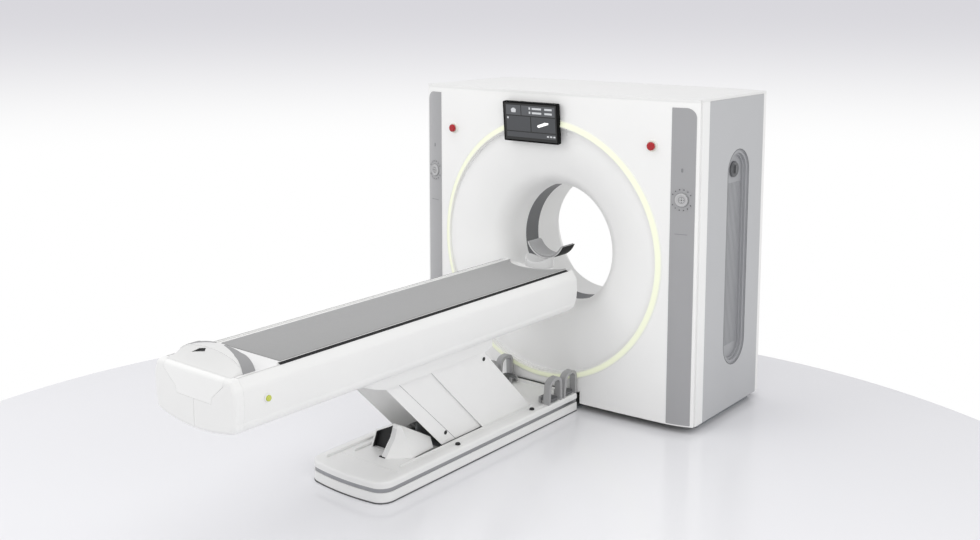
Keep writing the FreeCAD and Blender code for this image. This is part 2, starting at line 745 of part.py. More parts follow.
behind_bezel = front_prism([(-screen_wide, -screen_tall, 0), (screen_wide, -screen_tall, 0),
                            (screen_wide, screen_tall, 0), (-screen_wide, screen_tall, 0)], 0, 200)
display_mount = mount_block.common(mount_back).common(in_display(behind_bezel))
keep(shaped(Part.Compound([bezel, display_mount])), "display_bezel")

# emergency stops: a round head on a stem, in a collar that sits on the cover
collar_radius = S["estop_radius"] + 9
stop_nodes = {}
for side, word in ((1, "right"), (-1, "left")):
    x = side * N["estop_spread"]
    collar = turned([
        (S["estop_radius"] * 0.5 + 0.4, 0.3), (collar_radius, 0.3), (collar_radius, 5),
        (collar_radius - 3, 9), (S["estop_radius"] * 0.5 + 0.4, 9),
    ])
    stop_nodes[word] = on_front(collar, x, N["estop_height"], 0)
    head = turned([
        (0, 1), (S["estop_radius"] * 0.5, 1), (S["estop_radius"] * 0.5, 9.2),
        (S["estop_radius"], 9.2), (S["estop_radius"], 18),
        (S["estop_radius"] - 6, 24), (0, 24),
    ])
    keep(on_front(head, x, N["estop_height"], N["estop_travel"] + 0.3), f"emergency_stop_{word}")
keep(group(stop_nodes["right"], stop_nodes["left"]), "emergency_stop_collars")


# ---- gantry structure and turning parts ----

# floor frame: a plate with two box beams that carry the stator
floor_frame = fuse(
    box((-S["gantry_width"] / 2 + 90, S["gantry_width"] / 2 - 90), (-S["front_depth"] + 30, S["rear_depth"] - 40),
        (0, 12)),
    box((-S["gantry_width"] / 2 + 40, -S["gantry_width"] / 2 + 120),
        (-S["front_depth"] + 30, S["rear_depth"] - 40), (0, S["cover_gap"] + 30)),
    box((S["gantry_width"] / 2 - 120, S["gantry_width"] / 2 - 40),
        (-S["front_depth"] + 30, S["rear_depth"] - 40), (0, S["cover_gap"] + 30)),
)
anchor_x = S["gantry_width"] / 2 - 200
anchor_front, anchor_rear = -S["front_depth"] + 80, S["rear_depth"] - 90
ANCHOR_RADIUS = 9
anchors = [rod("z", ANCHOR_RADIUS, -1, 14, (x, y)) for x in (anchor_x, -anchor_x)
           for y in (anchor_front, anchor_rear)]
gantry_floor_frame = cut(floor_frame, *anchors)
plate_wide, plate_head = N["base_half_width"] - 20, -N["front_depth"] + 30
table_floor_plate = plan_prism([(plate_wide, plate_head - 0.5, 0), (-plate_wide, plate_head - 0.5, 0),
                                (-plate_wide, -N["base_foot"] + 40, 40), (plate_wide, -N["base_foot"] + 40, 40)],
                               0, N["floor_plate"])
keep(group(gantry_floor_frame, shaped(table_floor_plate)), "floor_frames")


def cover_rails():
    """Rails that stand on the floor frame and carry the posts and covers, left and right."""
    x_low, x_high = half_width - N["post_size"] - 40, half_width - N["post_size"] - 0.5
    z_low, z_high = N["cover_gap"] + 30, N["gantry_height"] - N["roof_thickness"]
    y_low, y_high = -N["front_depth"] + 30, N["rear_depth"] - 40
    rail = solid_box((x_low, x_high), (y_low, y_high), (z_low, z_low + 40))
    top = solid_box((x_low, x_high), (-N["front_depth"], N["rear_depth"]), (z_high - 40, z_high))
    front = solid_box((x_low, x_high), (-N["front_depth"], -N["front_depth"] + 40), (z_low, z_high))
    rear = solid_box((x_low, x_high), (N["rear_depth"] - 40, N["rear_depth"]), (z_low, z_high))
    shelf = solid_box((x_high - 30, half_width - N["cover_wall"] - 0.5),
                      (-N["front_depth"] + N["post_size"] + 0.5, y_high), (600, 640))
    foot = solid_box((x_low, x_high), (-N["front_depth"], N["rear_depth"]), (z_low, z_low + 40))
    frame = rail.fuse([top, front, rear, shelf, foot])
    return frame.cut(stadium(N["vent_half_width"] + 4, N["vent_base"] - 4, N["vent_top"] + 4,
                             half_width - 80, half_width, vent_y))


rails_right = shaped(cover_rails())

# stator: the fixed plate that holds the main bearing, with feet on the floor frame
bearing_radius = S["rotor_bore"] + S["hub_wall"]
race_in = bearing_radius + 0.05
race_mid = race_in + S["bearing_wall"]
race_out_in = race_mid + S["bearing_gap"]
race_out = race_out_in + S["bearing_wall"]
stator_top = S["gantry_height"] - 90


def stator_plate():
    x = half_width - N["post_size"] - 60
    low, high = N["cover_gap"] + 30, float(stator_top)
    y, thick = N["stator_face"], N["stator_thick"]
    plate_solid = front_prism([(-x, low, 10), (x, low, 10), (x, high, 200), (-x, high, 200)], y, y + thick)
    plate_solid = plate_solid.cut(solid_rod(float(race_out) + 0.05, y - 1, y + thick + 1, (0, N["axis_height"])))
    for sx in (-1, 1):
        for z in (low + 200, high - 200):
            plate_solid = plate_solid.cut(solid_rod(90, y - 1, y + thick + 1, (sx * (x - 150), z)))
    flange_low, flange_high = y - 90, y + thick + 90
    feet = [solid_box(sorted((sx * x, sx * (x - 90))), (flange_low, flange_high), (low, low + 30))
            for sx in (-1, 1)]
    ribs = [side_prism([(y + 1, low + 10, 0), (y - 85, low + 10, 0), (y + 1, low + 420, 0)],
                       *sorted((sx * (x - 60), sx * (x - 30)))) for sx in (-1, 1)]
    return plate_solid.fuse(feet + ribs)


stator = shaped(stator_plate())

outer_race = turned([
    (race_out_in, S["stator_face"]), (race_out, S["stator_face"]),
    (race_out, S["stator_face"] + S["bearing_width"]), (race_out_in, S["stator_face"] + S["bearing_width"]),
], (0, 0, S["axis_height"]))
inner_race = turned([
    (race_in, S["stator_face"]), (race_mid, S["stator_face"]),
    (race_mid, S["stator_face"] + S["bearing_width"]), (race_in, S["stator_face"] + S["bearing_width"]),
], (0, 0, S["axis_height"]))
keep(inner_race, "bearing_inner_race")


roller_row = turned([
    (race_mid + 0.2, S["stator_face"] + 4), (race_out_in - 0.2, S["stator_face"] + 4),
    (race_out_in - 0.2, S["stator_face"] + S["bearing_width"] - 4),
    (race_mid + 0.2, S["stator_face"] + S["bearing_width"] - 4),
], (0, 0, S["axis_height"]))
keep(group(outer_race, roller_row), "bearing_outer_race")

# rotor: disc and hub in one casting, with a belt land on the rim
hub_end = S["stator_face"] + S["stator_thick"] + 12
disc_back = S["rotor_face"] + S["rotor_thick"]
rotor = turned([
    (S["rotor_bore"], S["rotor_face"]), (S["rotor_radius"], S["rotor_face"]),
    (S["rotor_radius"], disc_back), (S["rotor_radius"] - 60, disc_back),
    (S["rotor_radius"] - 60, disc_back + 14), (S["rotor_radius"] - 90, disc_back + 14),
    (S["rotor_radius"] - 90, disc_back), (bearing_radius + 40, disc_back),
    (bearing_radius, disc_back + 30), (bearing_radius, hub_end), (S["rotor_bore"], hub_end),
], (0, 0, S["axis_height"]))
ring_face = hub_end
slip_ring = turned([
    (S["rotor_bore"], ring_face), (S["slip_ring_radius"], ring_face),
    (S["slip_ring_radius"], ring_face + S["slip_ring_thick"]),
    (S["slip_ring_radius"] - 45, ring_face + S["slip_ring_thick"]),
    (S["slip_ring_radius"] - 45, ring_face + S["slip_ring_thick"] - 5),
    (S["rotor_bore"] + 30, ring_face + S["slip_ring_thick"] - 5),
    (S["rotor_bore"] + 30, ring_face + S["slip_ring_thick"]),
    (S["rotor_bore"], ring_face + S["slip_ring_thick"]),
], (0, 0, S["axis_height"]))
keep(slip_ring, "slip_ring")
brush_bottom = S["axis_height"] + S["slip_ring_radius"] - 75
brush_near = ring_face + S["slip_ring_thick"] + S["run_gap"]
brush_block = fuse(
    box((-60, 60), (brush_near, brush_near + 30), (brush_bottom, S["axis_height"] + S["slip_ring_radius"] + 90)),
    box((-60, 60), (S["stator_face"] + S["stator_thick"], brush_near + 30),
        (S["axis_height"] + S["slip_ring_radius"] + 30, S["axis_height"] + S["slip_ring_radius"] + 90)),
)
keep(group(stator, brush_block, rails_right, mirrored(rails_right)), "stator_frame")

tube_middle = S["axis_height"] + S["rotor_bore"] + S["rotor_span"] * 0.59
tube_size = S["rotor_span"] * 0.268
window_side = tube_middle - S["rotor_span"] * 0.305
tube_housing = fuse(
    rod("y", tube_size, -105, S["rotor_face"], (0, tube_middle)),
    rod("y", tube_size / 2, -140, -105, (0, tube_middle)),
    box((-95, 95), (-60, S["rotor_face"]), (window_side, tube_middle)),
)
collimator = cut(
    box((-110, 110), (-55, 55), (window_side - S["rotor_span"] * 0.17, window_side)),
    box((-80, 80), (-10, 10), (window_side - S["rotor_span"] * 0.18, window_side + 5)),
)
keep(group(tube_housing, collimator), "xray_tube")


def arc_block(r_in, r_out, y_low, y_high, middle_deg, half_deg):
    """A block between two radii over an arc of the rotor."""
    start, end = math.radians(middle_deg - half_deg), math.radians(middle_deg + half_deg)
    mid = math.radians(middle_deg)

    def at(r, a):
        return Vector(r * math.cos(a), y_low, r * math.sin(a)) + bore_axis

    wire = arc_wire([at(r_in, start), at(r_out, start), (at(r_out, mid), at(r_out, end)),
                     at(r_in, end), (at(r_in, mid), at(r_in, start))])
    return prism(wire, Vector(0, y_high - y_low, 0))


rotor_face = N["rotor_face"]


def across(share):
    """A radius on the rotor: 0 at its hole, 1 at its rim."""
    return N["rotor_bore"] + share * N["rotor_span"]


detector = arc_block(across(0.24), across(0.43), -80, rotor_face, 270, 34)
fins = [arc_block(across(0.43), across(0.465), y, y + 12, 270, 34) for y in (-60, 0, 60)]
keep(shaped(detector.fuse(fins)), "detector_array")
generator = arc_block(across(0.17), across(0.78), -60, rotor_face, 152, 19)
inverter = arc_block(across(0.17), across(0.78), -40, rotor_face, 28, 17)
keep(shaped(Part.Compound([generator, inverter])), "high_voltage_units")
weights = [arc_block(across(0.56), across(0.9), 20, rotor_face, at, 10).fuse(
    arc_block(across(0.7), across(0.9), 60, rotor_face, at, 14)) for at in (215, 325)]
keep(group(rotor, shaped(Part.Compound(weights))), "rotor_disc")

# belt drive: motor on the floor frame, pulley on its shaft, belt round the rotor's rim
PULLEY_RADIUS = 48
BELT_THICK = 4
pulley_at = Vector(-half_width + 262, 0, 190)
belt_y = (rotor_face + 4, rotor_face + N["rotor_thick"] - 4)
pulley = turned([
    (12.1, -12), (PULLEY_RADIUS, -12), (PULLEY_RADIUS, 12), (12.1, 12),
], (pulley_at.x, (S["rotor_face"] + S["rotor_thick"] / 2), pulley_at.z))
keep(pulley, "drive_pulley")


def belt_loop():
    """An open belt: the outline round two discs, as a band of one thickness."""
    big, small = N["rotor_radius"] + 0.3, PULLEY_RADIUS + 0.3

    def outline(extra, y):
        a, b = Vector(0, y, N["axis_height"]), Vector(pulley_at.x, y, pulley_at.z)
        span = b - a
        facing = math.atan2(span.z, span.x)
        open_angle = math.acos((big - small) / span.Length)

        def at(centre, radius, angle):
            return centre + Vector(radius * math.cos(angle), 0, radius * math.sin(angle))
        up, down = facing + open_angle, facing - open_angle
        return arc_wire([
            at(a, big + extra, up),
            (at(a, big + extra, facing + math.pi), at(a, big + extra, down)),
            at(b, small + extra, down),
            (at(b, small + extra, facing), at(b, small + extra, up)),
        ])
    width = Vector(0, belt_y[1] - belt_y[0], 0)
    return prism(outline(BELT_THICK, belt_y[0]), width).cut(prism(outline(0, belt_y[0] - 1), width + Vector(0, 2, 0)))


keep(shaped(belt_loop()), "drive_belt")
motor_front = S["rotor_face"] + S["rotor_thick"] + 8
motor = fuse(
    rod("y", 62, motor_front, S["stator_face"], (pulley_at.x, pulley_at.z)),
    rod("y", 12, S["rotor_face"] - 4, motor_front, (pulley_at.x, pulley_at.z)),
    box((pulley_at.x - 50, pulley_at.x + 50), (motor_front + 5, S["stator_face"]), (12, 150)),
)
keep(motor, "drive_motor")


# ---- table base ----

def base_plan(inset, z_low, z_high, foot_inset=None):
    """Outline of the base: square at the gantry end, a bowed end between round corners at the foot."""
    half = N["base_half_width"] - inset
    foot = N["base_foot"] - (inset if foot_inset is None else foot_inset)
    corner = max(N["base_corner"] - inset, 6)
    middle, corner_x = foot - N["base_bow"], half - corner
    corner_y = middle + math.sqrt((N["base_bow"] - corner) ** 2 - corner_x ** 2)
    turn = math.atan2(corner_y - middle, corner_x)

    def at(x, y):
        return Vector(x, -y, z_low)

    def round_corner(angle):
        return corner_x + corner * math.cos(angle), corner_y + corner * math.sin(angle)
    mid, tip = round_corner(turn / 2), round_corner(turn)
    wire = arc_wire([
        at(half, N["base_head"]), at(half, corner_y), (at(*mid), at(*tip)), (at(0, foot), at(-tip[0], tip[1])),
        (at(-mid[0], mid[1]), at(-half, corner_y)), at(-half, N["base_head"]),
    ])
    return prism(wire, Vector(0, 0, z_high - z_low))


def base_skirt():
    outer = base_plan(0, 3, N["band_low"])
    outer = outer.makeFillet(8, [e for e in outer.Edges if e.BoundBox.ZMax < 3.1
                                 and e.CenterOfMass.y < -N["base_head"] - 1])
    inner = base_plan(14, 2, N["band_low"] + 1)
    return outer.cut(inner).cut(table_floor_plate)


keep(shaped(base_skirt()), "base_skirt")
keep(shaped(base_plan(5, N["band_low"], N["band_high"]).cut(base_plan(16, N["band_low"] - 1, N["band_high"] + 1))),
     "base_trim_band")

slot_front, slot_rear = 1790, 690


def base_deck():
    """Moulded deck: a rim round a shallow tray, with the opening that the arms work in."""
    low, top = N["band_high"], N["base_top"]
    outer = base_plan(0, low, top)
    outer = outer.makeFillet(12, [e for e in outer.Edges if e.BoundBox.ZMin > top - 0.1
                                  and e.CenterOfMass.y < -N["base_head"] - 1])
    under = base_plan(16, low - 1, top - N["deck_drop"] - 8)
    tray_half = N["base_half_width"] - N["rim_width"]
    tray = base_plan(N["rim_width"], top - N["deck_drop"], top + 1, 70).common(plan_prism(
        [(tray_half + 1, -N["base_head"] - 20, 12), (-tray_half - 1, -N["base_head"] - 20, 12),
         (-tray_half - 1, -N["base_foot"], 0), (tray_half + 1, -N["base_foot"], 0)], low, top + 1))
    slot = plan_prism([(N["deck_slot"], -slot_rear, 8), (-N["deck_slot"], -slot_rear, 8),
                       (-N["deck_slot"], -slot_front + 130, 60), (N["deck_slot"], -slot_front + 130, 60)],
                      low - 2, top + 2)
    deck = outer.cut(under).cut(tray).cut(slot)
    seams = [solid_box((-tray_half, tray_half), (y - 1.2, y + 1.2),
                       (top - N["deck_drop"] - 1.5, top - N["deck_drop"] + 1))
             for y in (-N["base_foot"] + 195, -N["base_foot"] + 340)]
    return deck.cut(Part.Compound(seams))


keep(shaped(base_deck()), "base_deck")
tray_level = N["base_top"] - N["deck_drop"]

# shroud over the lift motor: a prow with a hollow front edge, and an open hood that it stands in
shroud_foot, shroud_mouth, shroud_head = -1766, -1684, -1500
shroud_seat = tray_level + 0.3


def prow():
    """The prow: where its side, front and plan outlines meet."""
    far = N["table_foot"]

    def at(y, z):
        return Vector(-half_width, y, z)
    peak, wide, flare_end = shroud_seat + 152, 118, shroud_foot + 186
    side = prism(arc_wire([
        at(shroud_foot, shroud_seat), (at(shroud_foot + 38, shroud_seat + 70), at(shroud_foot + 56, peak)),
        at(shroud_foot + 70, peak), at(shroud_head, shroud_seat + 54), at(shroud_head, shroud_seat),
    ]), Vector(2 * half_width, 0, 0))
    front = front_prism([(-wide, shroud_seat, 0), (wide, shroud_seat, 0), (56, peak, 0), (-56, peak, 0)], -far, 0)
    plan = plan_prism([(24, shroud_foot, 0), (wide, flare_end, 0), (wide, shroud_head, 0),
                       (-wide, shroud_head, 0), (-wide, flare_end, 0), (-24, shroud_foot, 0)], 0, half_width)
    return side.common(front).common(plan)


def hood():
    """The hood: a gabled shell, open towards the foot and low at its far end."""
    def shell(inset, near, far):
        block = front_prism([(-132 + inset, shroud_seat - inset, 0), (132 - inset, shroud_seat - inset, 0),
                             (102 - inset, shroud_seat + 84 - inset, 0), (0, shroud_seat + 132 - inset, 0),
                             (-102 + inset, shroud_seat + 84 - inset, 0)], near, far)
        roof_line = side_prism([(near, shroud_seat - 20, 0), (far, shroud_seat - 20, 0),
                                (far, shroud_seat + 84 - inset, 0), (near, shroud_seat + 140, 0)], -200, 200)
        return block.common(roof_line)
    return shell(0, shroud_mouth, shroud_mouth + 120).cut(shell(5, shroud_mouth - 1, shroud_mouth + 115))


shroud_stand = solid_box((-90, 90), (shroud_foot + 130, shroud_head - 10), (N["floor_plate"], shroud_seat + 1))
keep(shaped(prow().fuse([hood(), shroud_stand])), "lift_shroud")


# ---- lift linkage: two arms that stay parallel, a carriage that stays level ----

rise = S["arm_pivot_high"] - S["arm_pivot_low"]
foot_low = Vector(0, -N["foot_pivot"], N["arm_pivot_low"])
head_low = foot_low + Vector(0, N["pivot_spacing"], 0)
lean = Vector(0, -float(rise), float(rise))
arm_length = lean.Length
ARM_FRAME = Rotation(Vector(1, 0, 0), 135)
pin_hole = N["pin_radius"] + N["pin_clearance"]


def arm_prism(corners, x_low, x_high, pivot):
    """Outline in the arm's own frame: along the arm from its lower pivot, and above it."""
    along = lean * (1 / arm_length)
    above = Vector(0, along.z, -along.y)
    wire = rounded_outline([(pivot + Vector(x_low, 0, 0) + along * a + above * b, r) for a, b, r in corners])
    return prism(wire, Vector(x_high - x_low, 0, 0))


def cross_rod(radius, x_low, x_high, at):
    return Part.makeCylinder(radius, x_high - x_low, Vector(x_low, at.y, at.z), Vector(1, 0, 0))


def arm_casting(pivot, web):
    """Two bars with round ends, tied by a web or by tubes, bored at both pivots."""
    half, out, bar = N["arm_depth"] / 2, N["arm_outside"], N["arm_bar"]
    outline = [(-half, -half, half - 0.5), (arm_length + half, -half, half - 0.5),
               (arm_length + half, half, half - 0.5), (-half, half, half - 0.5)]
    bars = [arm_prism(outline, *sorted((sx * out, sx * (out - bar))), pivot) for sx in (-1, 1)]
    solid = bars[0].fuse(bars[1])
    if web:
        along = lean * (1 / arm_length)
        above = Vector(0, along.z, -along.y)
        start = pivot + along * 70
        inner = out - bar
        hollow = arc_wire([
            start + Vector(-inner, 0, 0) + above * -half,
            (start + above * (half - 9), start + Vector(inner, 0, 0) + above * -half),
        ])
        block = arm_prism([(70, -half, 0), (arm_length - 100, -half, 0), (arm_length - 100, half, 0), (70, half, 0)],
                          -inner - 1, inner + 1, pivot)
        block = block.cut(prism(hollow, along * arm_length))
        solid = solid.fuse(block)
    else:
        for share in (0.3, 0.72):
            solid = solid.fuse(cross_rod(18, -out + 5, out - 5, pivot + lean * share))
    for share in (0, 1):
        solid = solid.cut(cross_rod(pin_hole, -out - 1, out + 1, pivot + lean * share))
    return solid


foot_arm = arm_casting(foot_low, True)
bosses = [cross_rod(16, *sorted((sx * (N["arm_outside"] - 2), sx * (N["panel_inner"]))),
                    foot_low + lean * share) for share in (0.28, 0.7) for sx in (-1, 1)]
keep(shaped(foot_arm.fuse(bosses)), "foot_arm")
keep(shaped(arm_casting(head_low, False)), "gantry_arm")


def level_panel(pivot, x_low, low_edge, high_edge, low_cut, high_cut, corner):
    """A side panel along an arm, cut level at its lower and upper ends."""
    long_cut = arm_length * 3
    strip = arm_prism([(-long_cut, low_edge, 0), (long_cut, low_edge, 0), (long_cut, high_edge, 0),
                       (-long_cut, high_edge, 0)], x_low, x_low + N["panel_wall"], pivot)
    window = side_prism([(-3000, low_cut, 0), (0, low_cut, 0), (0, high_cut[1], 0), (-3000, high_cut[0], 0)],
                        x_low - 1, x_low + N["panel_wall"] + 1)
    return strip.common(window)


seam_above_foot_arm = 135
overlap = 66
low_level = 106
foot_panel = level_panel(foot_low, N["panel_inner"], -N["panel_low_edge"], seam_above_foot_arm + overlap,
                         low_level, (596, 596), 0)
spacing_across = N["pivot_spacing"] * float(lean.z) / arm_length
gantry_panel = level_panel(head_low, N["panel_outer"], seam_above_foot_arm - spacing_across,
                           N["panel_high_edge"], low_level, (592, 592), 0)
foot_panel_left = foot_panel.mirror(Vector(0, 0, 0), Vector(1, 0, 0))


def trough():
    """Hollow face on the foot side, an arc from panel to panel that clears the shroud."""
    along = lean * (1 / arm_length)
    above = Vector(0, along.z, -along.y)
    start, end = 60, arm_length - 60
    edge = N["panel_inner"] + 1
    low, middle, skin = -N["panel_low_edge"], 4, 5

    def at(x, b):
        return foot_low + along * start + Vector(x, 0, 0) + above * b
    wire = arc_wire([at(-edge, low), (at(0, middle), at(edge, low)), at(edge, low + skin * 1.6),
                     (at(0, middle + skin), at(-edge, low + skin * 1.6))])
    return prism(wire, along * (end - start))


keep(shaped(foot_panel.fuse([foot_panel_left, trough()])), "foot_arm_cover")


def gantry_arm_cover():
    """Two outer side panels joined by the web on the gantry side, with ribs down to the arm."""
    left = gantry_panel.mirror(Vector(0, 0, 0), Vector(1, 0, 0))
    x = N["panel_outer"] + N["panel_wall"]
    high = N["panel_high_edge"]
    web = arm_prism([(-arm_length, high - 8, 0), (arm_length, high - 8, 0), (arm_length, high, 0),
                     (-arm_length, high, 0)], -x, x, head_low)
    keep_level = side_prism([(-3000, low_level, 0), (0, low_level, 0), (0, 592, 0), (-3000, 592, 0)], -x - 1, x + 1)
    out, bar = N["arm_outside"], N["arm_bar"]
    ribs = [arm_prism([(a, N["arm_depth"] / 2, 0), (a + 12, N["arm_depth"] / 2, 0), (a + 12, high - 7, 0),
                       (a, high - 7, 0)], *sorted((sx * out, sx * (out - bar))), head_low)
            for a in (120, 400) for sx in (-1, 1)]
    return gantry_panel.fuse([left, web.common(keep_level)] + ribs)


keep(shaped(gantry_arm_cover()), "gantry_arm_cover")

# pivot brackets and pins
bracket_out = N["arm_outside"] - N["arm_bar"] - 1
bracket_in = bracket_out - N["bracket_wall"]
upper_foot = foot_low + lean
upper_head = head_low + lean


def pivot_bracket(first, second, foot_z):
    """Two cheeks with a round eye at each pivot, tied by a foot plate."""
    eye = 30
    y_low, y_high = first.y - 45, second.y + 45
    cheeks = []
    for sx in (-1, 1):
        xs = sorted((sx * bracket_in, sx * bracket_out))
        cheek = side_prism([(y_low, foot_z, 0), (y_high, foot_z, 0), (second.y + eye, first.z, 0),
                            (first.y - eye, first.z, 0)], *xs)
        cheeks.append(cheek.fuse([cross_rod(eye, *xs, centre) for centre in (first, second)]))
    tie = solid_box((-bracket_out, bracket_out), (y_low, y_high), (foot_z, foot_z + 8))
    solid = cheeks[0].fuse([cheeks[1], tie])
    for centre in (first, second):
        solid = solid.cut(cross_rod(pin_hole, -200, 200, centre))
    return solid


def pivot_pins(*centres):
    reach = N["arm_outside"] - 0.5
    return [cross_rod(N["pin_radius"], -reach, reach, centre) for centre in centres]


lower_bracket = pivot_bracket(foot_low, head_low, N["floor_plate"])
keep(shaped(Part.Compound([lower_bracket] + pivot_pins(foot_low, head_low))), "lower_bracket")


# ---- table ----

half = N["table_half_width"]
top, side_top = N["table_top"], N["table_side_top"]
side_base, belly = N["table_side_base"], N["table_belly"]
slot_out = N["cradle_half_width"] + N["cradle_slot"]


def table_section(inset, y):
    """Section of the housing: sloping rails, barrelled sides, a belly that hangs lowest in the middle."""
    def at(x, z):
        return Vector(x, y, z)
    h = half - inset
    low = side_base + inset
    base_x = half - 25 - inset * 0.7
    return arc_wire([
        at(slot_out + inset * 0.4, top - inset),
        at(h - 6.6, side_top + 9.2 - inset * 0.3),
        (at(h - 1.7, side_top - 0.4 - inset * 0.3), at(h, side_top - 11 - inset * 0.3)),
        (at(h + 1.5, (side_top + low) / 2 + 10), at(h - 5, low + 44)),
        (at(h - 9, low + 18), at(base_x, low)),
        (at(0, belly + inset), at(-base_x, low)),
        (at(-h + 9, low + 18), at(-h + 5, low + 44)),
        (at(-h - 1.5, (side_top + low) / 2 + 10), at(-h, side_top - 11 - inset * 0.3)),
        (at(-h + 1.7, side_top - 0.4 - inset * 0.3), at(-h + 6.6, side_top + 9.2 - inset * 0.3)),
        at(-slot_out - inset * 0.4, top - inset),
    ])


foot_inner = -N["table_foot"] + N["foot_cap"]
wall_t = N["table_wall"]
head_y = -N["table_head"]


def rounded_end_block(inset, foot, head, rounding):
    """The housing's full block, rounded under the head end."""
    block = prism(table_section(inset, foot), Vector(0, head - foot, 0))
    low = belly + inset - 3
    trim = side_prism([(foot - 10, low, 0), (head, low, rounding), (head, top + 50, 0), (foot - 10, top + 50, 0)],
                      -half - 20, half + 20)
    return block.common(trim)


lift_slot = (-1988, -780)
skirt_head = -1096
lift_slot_half = 166


def table_housing():
    outer = rounded_end_block(0, foot_inner, head_y, N["head_round"])
    inner = rounded_end_block(wall_t, foot_inner - 5, head_y - wall_t, N["head_round"] - wall_t)
    shell = outer.cut(inner)
    channel = solid_box((-slot_out, slot_out), (foot_inner - 10, head_y + 30),
                        (top - N["cradle_thick"] - 6, top + 20))
    opening = solid_box((-lift_slot_half, lift_slot_half), lift_slot, (belly - 20, side_base + 60))
    ledge_z = top - N["cradle_thick"] - 6
    ledges = [solid_box(sorted((sx * (slot_out - 34), sx * (half - 4))), (foot_inner, head_y - 2),
                        (ledge_z - 8, ledge_z)) for sx in (-1, 1)]
    ledges = [ledge.common(outer) for ledge in ledges]
    shell = shell.cut(channel).cut(opening)
    return shell.fuse(ledges)


housing = shaped(table_housing())


def under_pan():
    """Skirt under the housing round the arms: rounded at the foot, open towards the gantry."""
    x_out, x_in = 190, lift_slot_half + 1
    y_low = lift_slot[0] - 24
    z_low, z_high = 530, side_base + 20
    outer = plan_prism([(x_out, y_low, 60), (x_out, skirt_head, 0), (-x_out, skirt_head, 0), (-x_out, y_low, 60)],
                       z_low, z_high)
    inner = plan_prism([(x_in, y_low + 20, 44), (x_in, skirt_head + 1, 0), (-x_in, skirt_head + 1, 0),
                        (-x_in, y_low + 20, 44)], z_low - 1, z_high + 1)
    ring = outer.cut(inner)
    trim = side_prism([(y_low - 10, z_low + 34, 0), (y_low + 110, z_low, 60), (skirt_head - 60, z_low, 40),
                       (skirt_head + 10, z_low + 24, 0), (skirt_head + 10, z_high, 0), (y_low - 10, z_high, 0)],
                      -x_out - 10, x_out + 10)
    return ring.common(trim).cut(rounded_end_block(-0.3, foot_inner, head_y, N["head_round"]))


keep(shaped(under_pan()), "lift_skirt")


def carriage():
    """Upper brackets: two cheeks at the upper pivots, hung from cross beams inside the housing."""
    eye = 30
    y_low, y_high = upper_foot.y - 60, upper_head.y + 60
    ceiling = top - N["cradle_thick"] - 14.3
    parts = []
    for sx in (-1, 1):
        xs = sorted((sx * bracket_in, sx * bracket_out))
        cheek = side_prism([(upper_foot.y - eye, upper_foot.z, 0), (upper_head.y + eye, upper_head.z, 0),
                            (y_high, ceiling, 0), (y_low, ceiling, 0)], *xs)
        for centre in (upper_foot, upper_head):
            cheek = cheek.fuse(cross_rod(eye, *xs, centre))
        parts.append(cheek)
    for y in (y_low, y_high - 40):
        parts.append(solid_box((-slot_out + 2, slot_out - 2), (y, y + 40), (ceiling - 12, ceiling)))
    solid = parts[0].fuse(parts[1:])
    for centre in (upper_foot, upper_head):
        solid = solid.cut(cross_rod(pin_hole, -200, 200, centre))
    return solid


# foot end: a cap in two halves with a V-shaped fascia let in
cap_round, cap_let_in = 20, 22
bends = [math.pi / 10 * step for step in range(6)]
foot_end = -N["table_foot"]
cap_dome = Part.makeLoft([table_section(cap_round * (1 - math.cos(a)), foot_end + cap_round * (1 - math.sin(a)))
                          for a in bends], True, False)
cap_block = prism(table_section(0, foot_end + cap_round), Vector(0, N["foot_cap"] - 0.5 - cap_round, 0))
cap_block = cap_block.fuse(cap_dome)
v_wide, v_narrow = slot_out - 44, slot_out - 121
v_low = top - 125
fascia_right = [(v_wide, top + 5), (v_wide, side_top + 12), (v_narrow, v_low + 28), (v_narrow - 5, v_low)]
fascia_points = [(x, z, 0) for x, z in fascia_right] + [(-x, z, 0) for x, z in reversed(fascia_right)]
fascia_prism = front_prism(fascia_points, foot_end - 5, foot_end + cap_let_in)
seam = 0.8
fascia_grown = front_prism([(x + math.copysign(seam, x), z - seam, r) for x, z, r in fascia_points],
                           foot_end - 5, foot_end + cap_let_in + 0.3)
keep(shaped(cap_block.common(fascia_prism)), "foot_fascia")
cap_rest = cap_block.cut(fascia_grown)
right_half = cap_rest.common(solid_box((seam, half + 20), (foot_end - 10, foot_inner + 1), (500, top + 20)))
cap_right = shaped(right_half)
keep(group(cap_right, mirrored(cap_right)), "foot_caps")


# ---- sliding tabletop and what rides on it ----

cradle_low = top - N["cradle_thick"]
cradle_foot = foot_inner + 3
cradle_head = head_y + 2


def mattress_plan(grow, z_low, z_high):
    """Mattress outline: square at the foot, scooped out at the head for the head cup."""
    m = N["mattress_half_width"] + grow
    foot = -N["mattress_foot"] - grow
    head = cradle_head - 4 + grow
    wire = arc_wire([
        Vector(m, foot, z_low), Vector(m, head, z_low),
        (Vector(0, head - 118 + grow * 0.5, z_low), Vector(-m, head, z_low)),
        Vector(-m, foot, z_low),
    ])
    return prism(wire, Vector(0, 0, z_high - z_low))


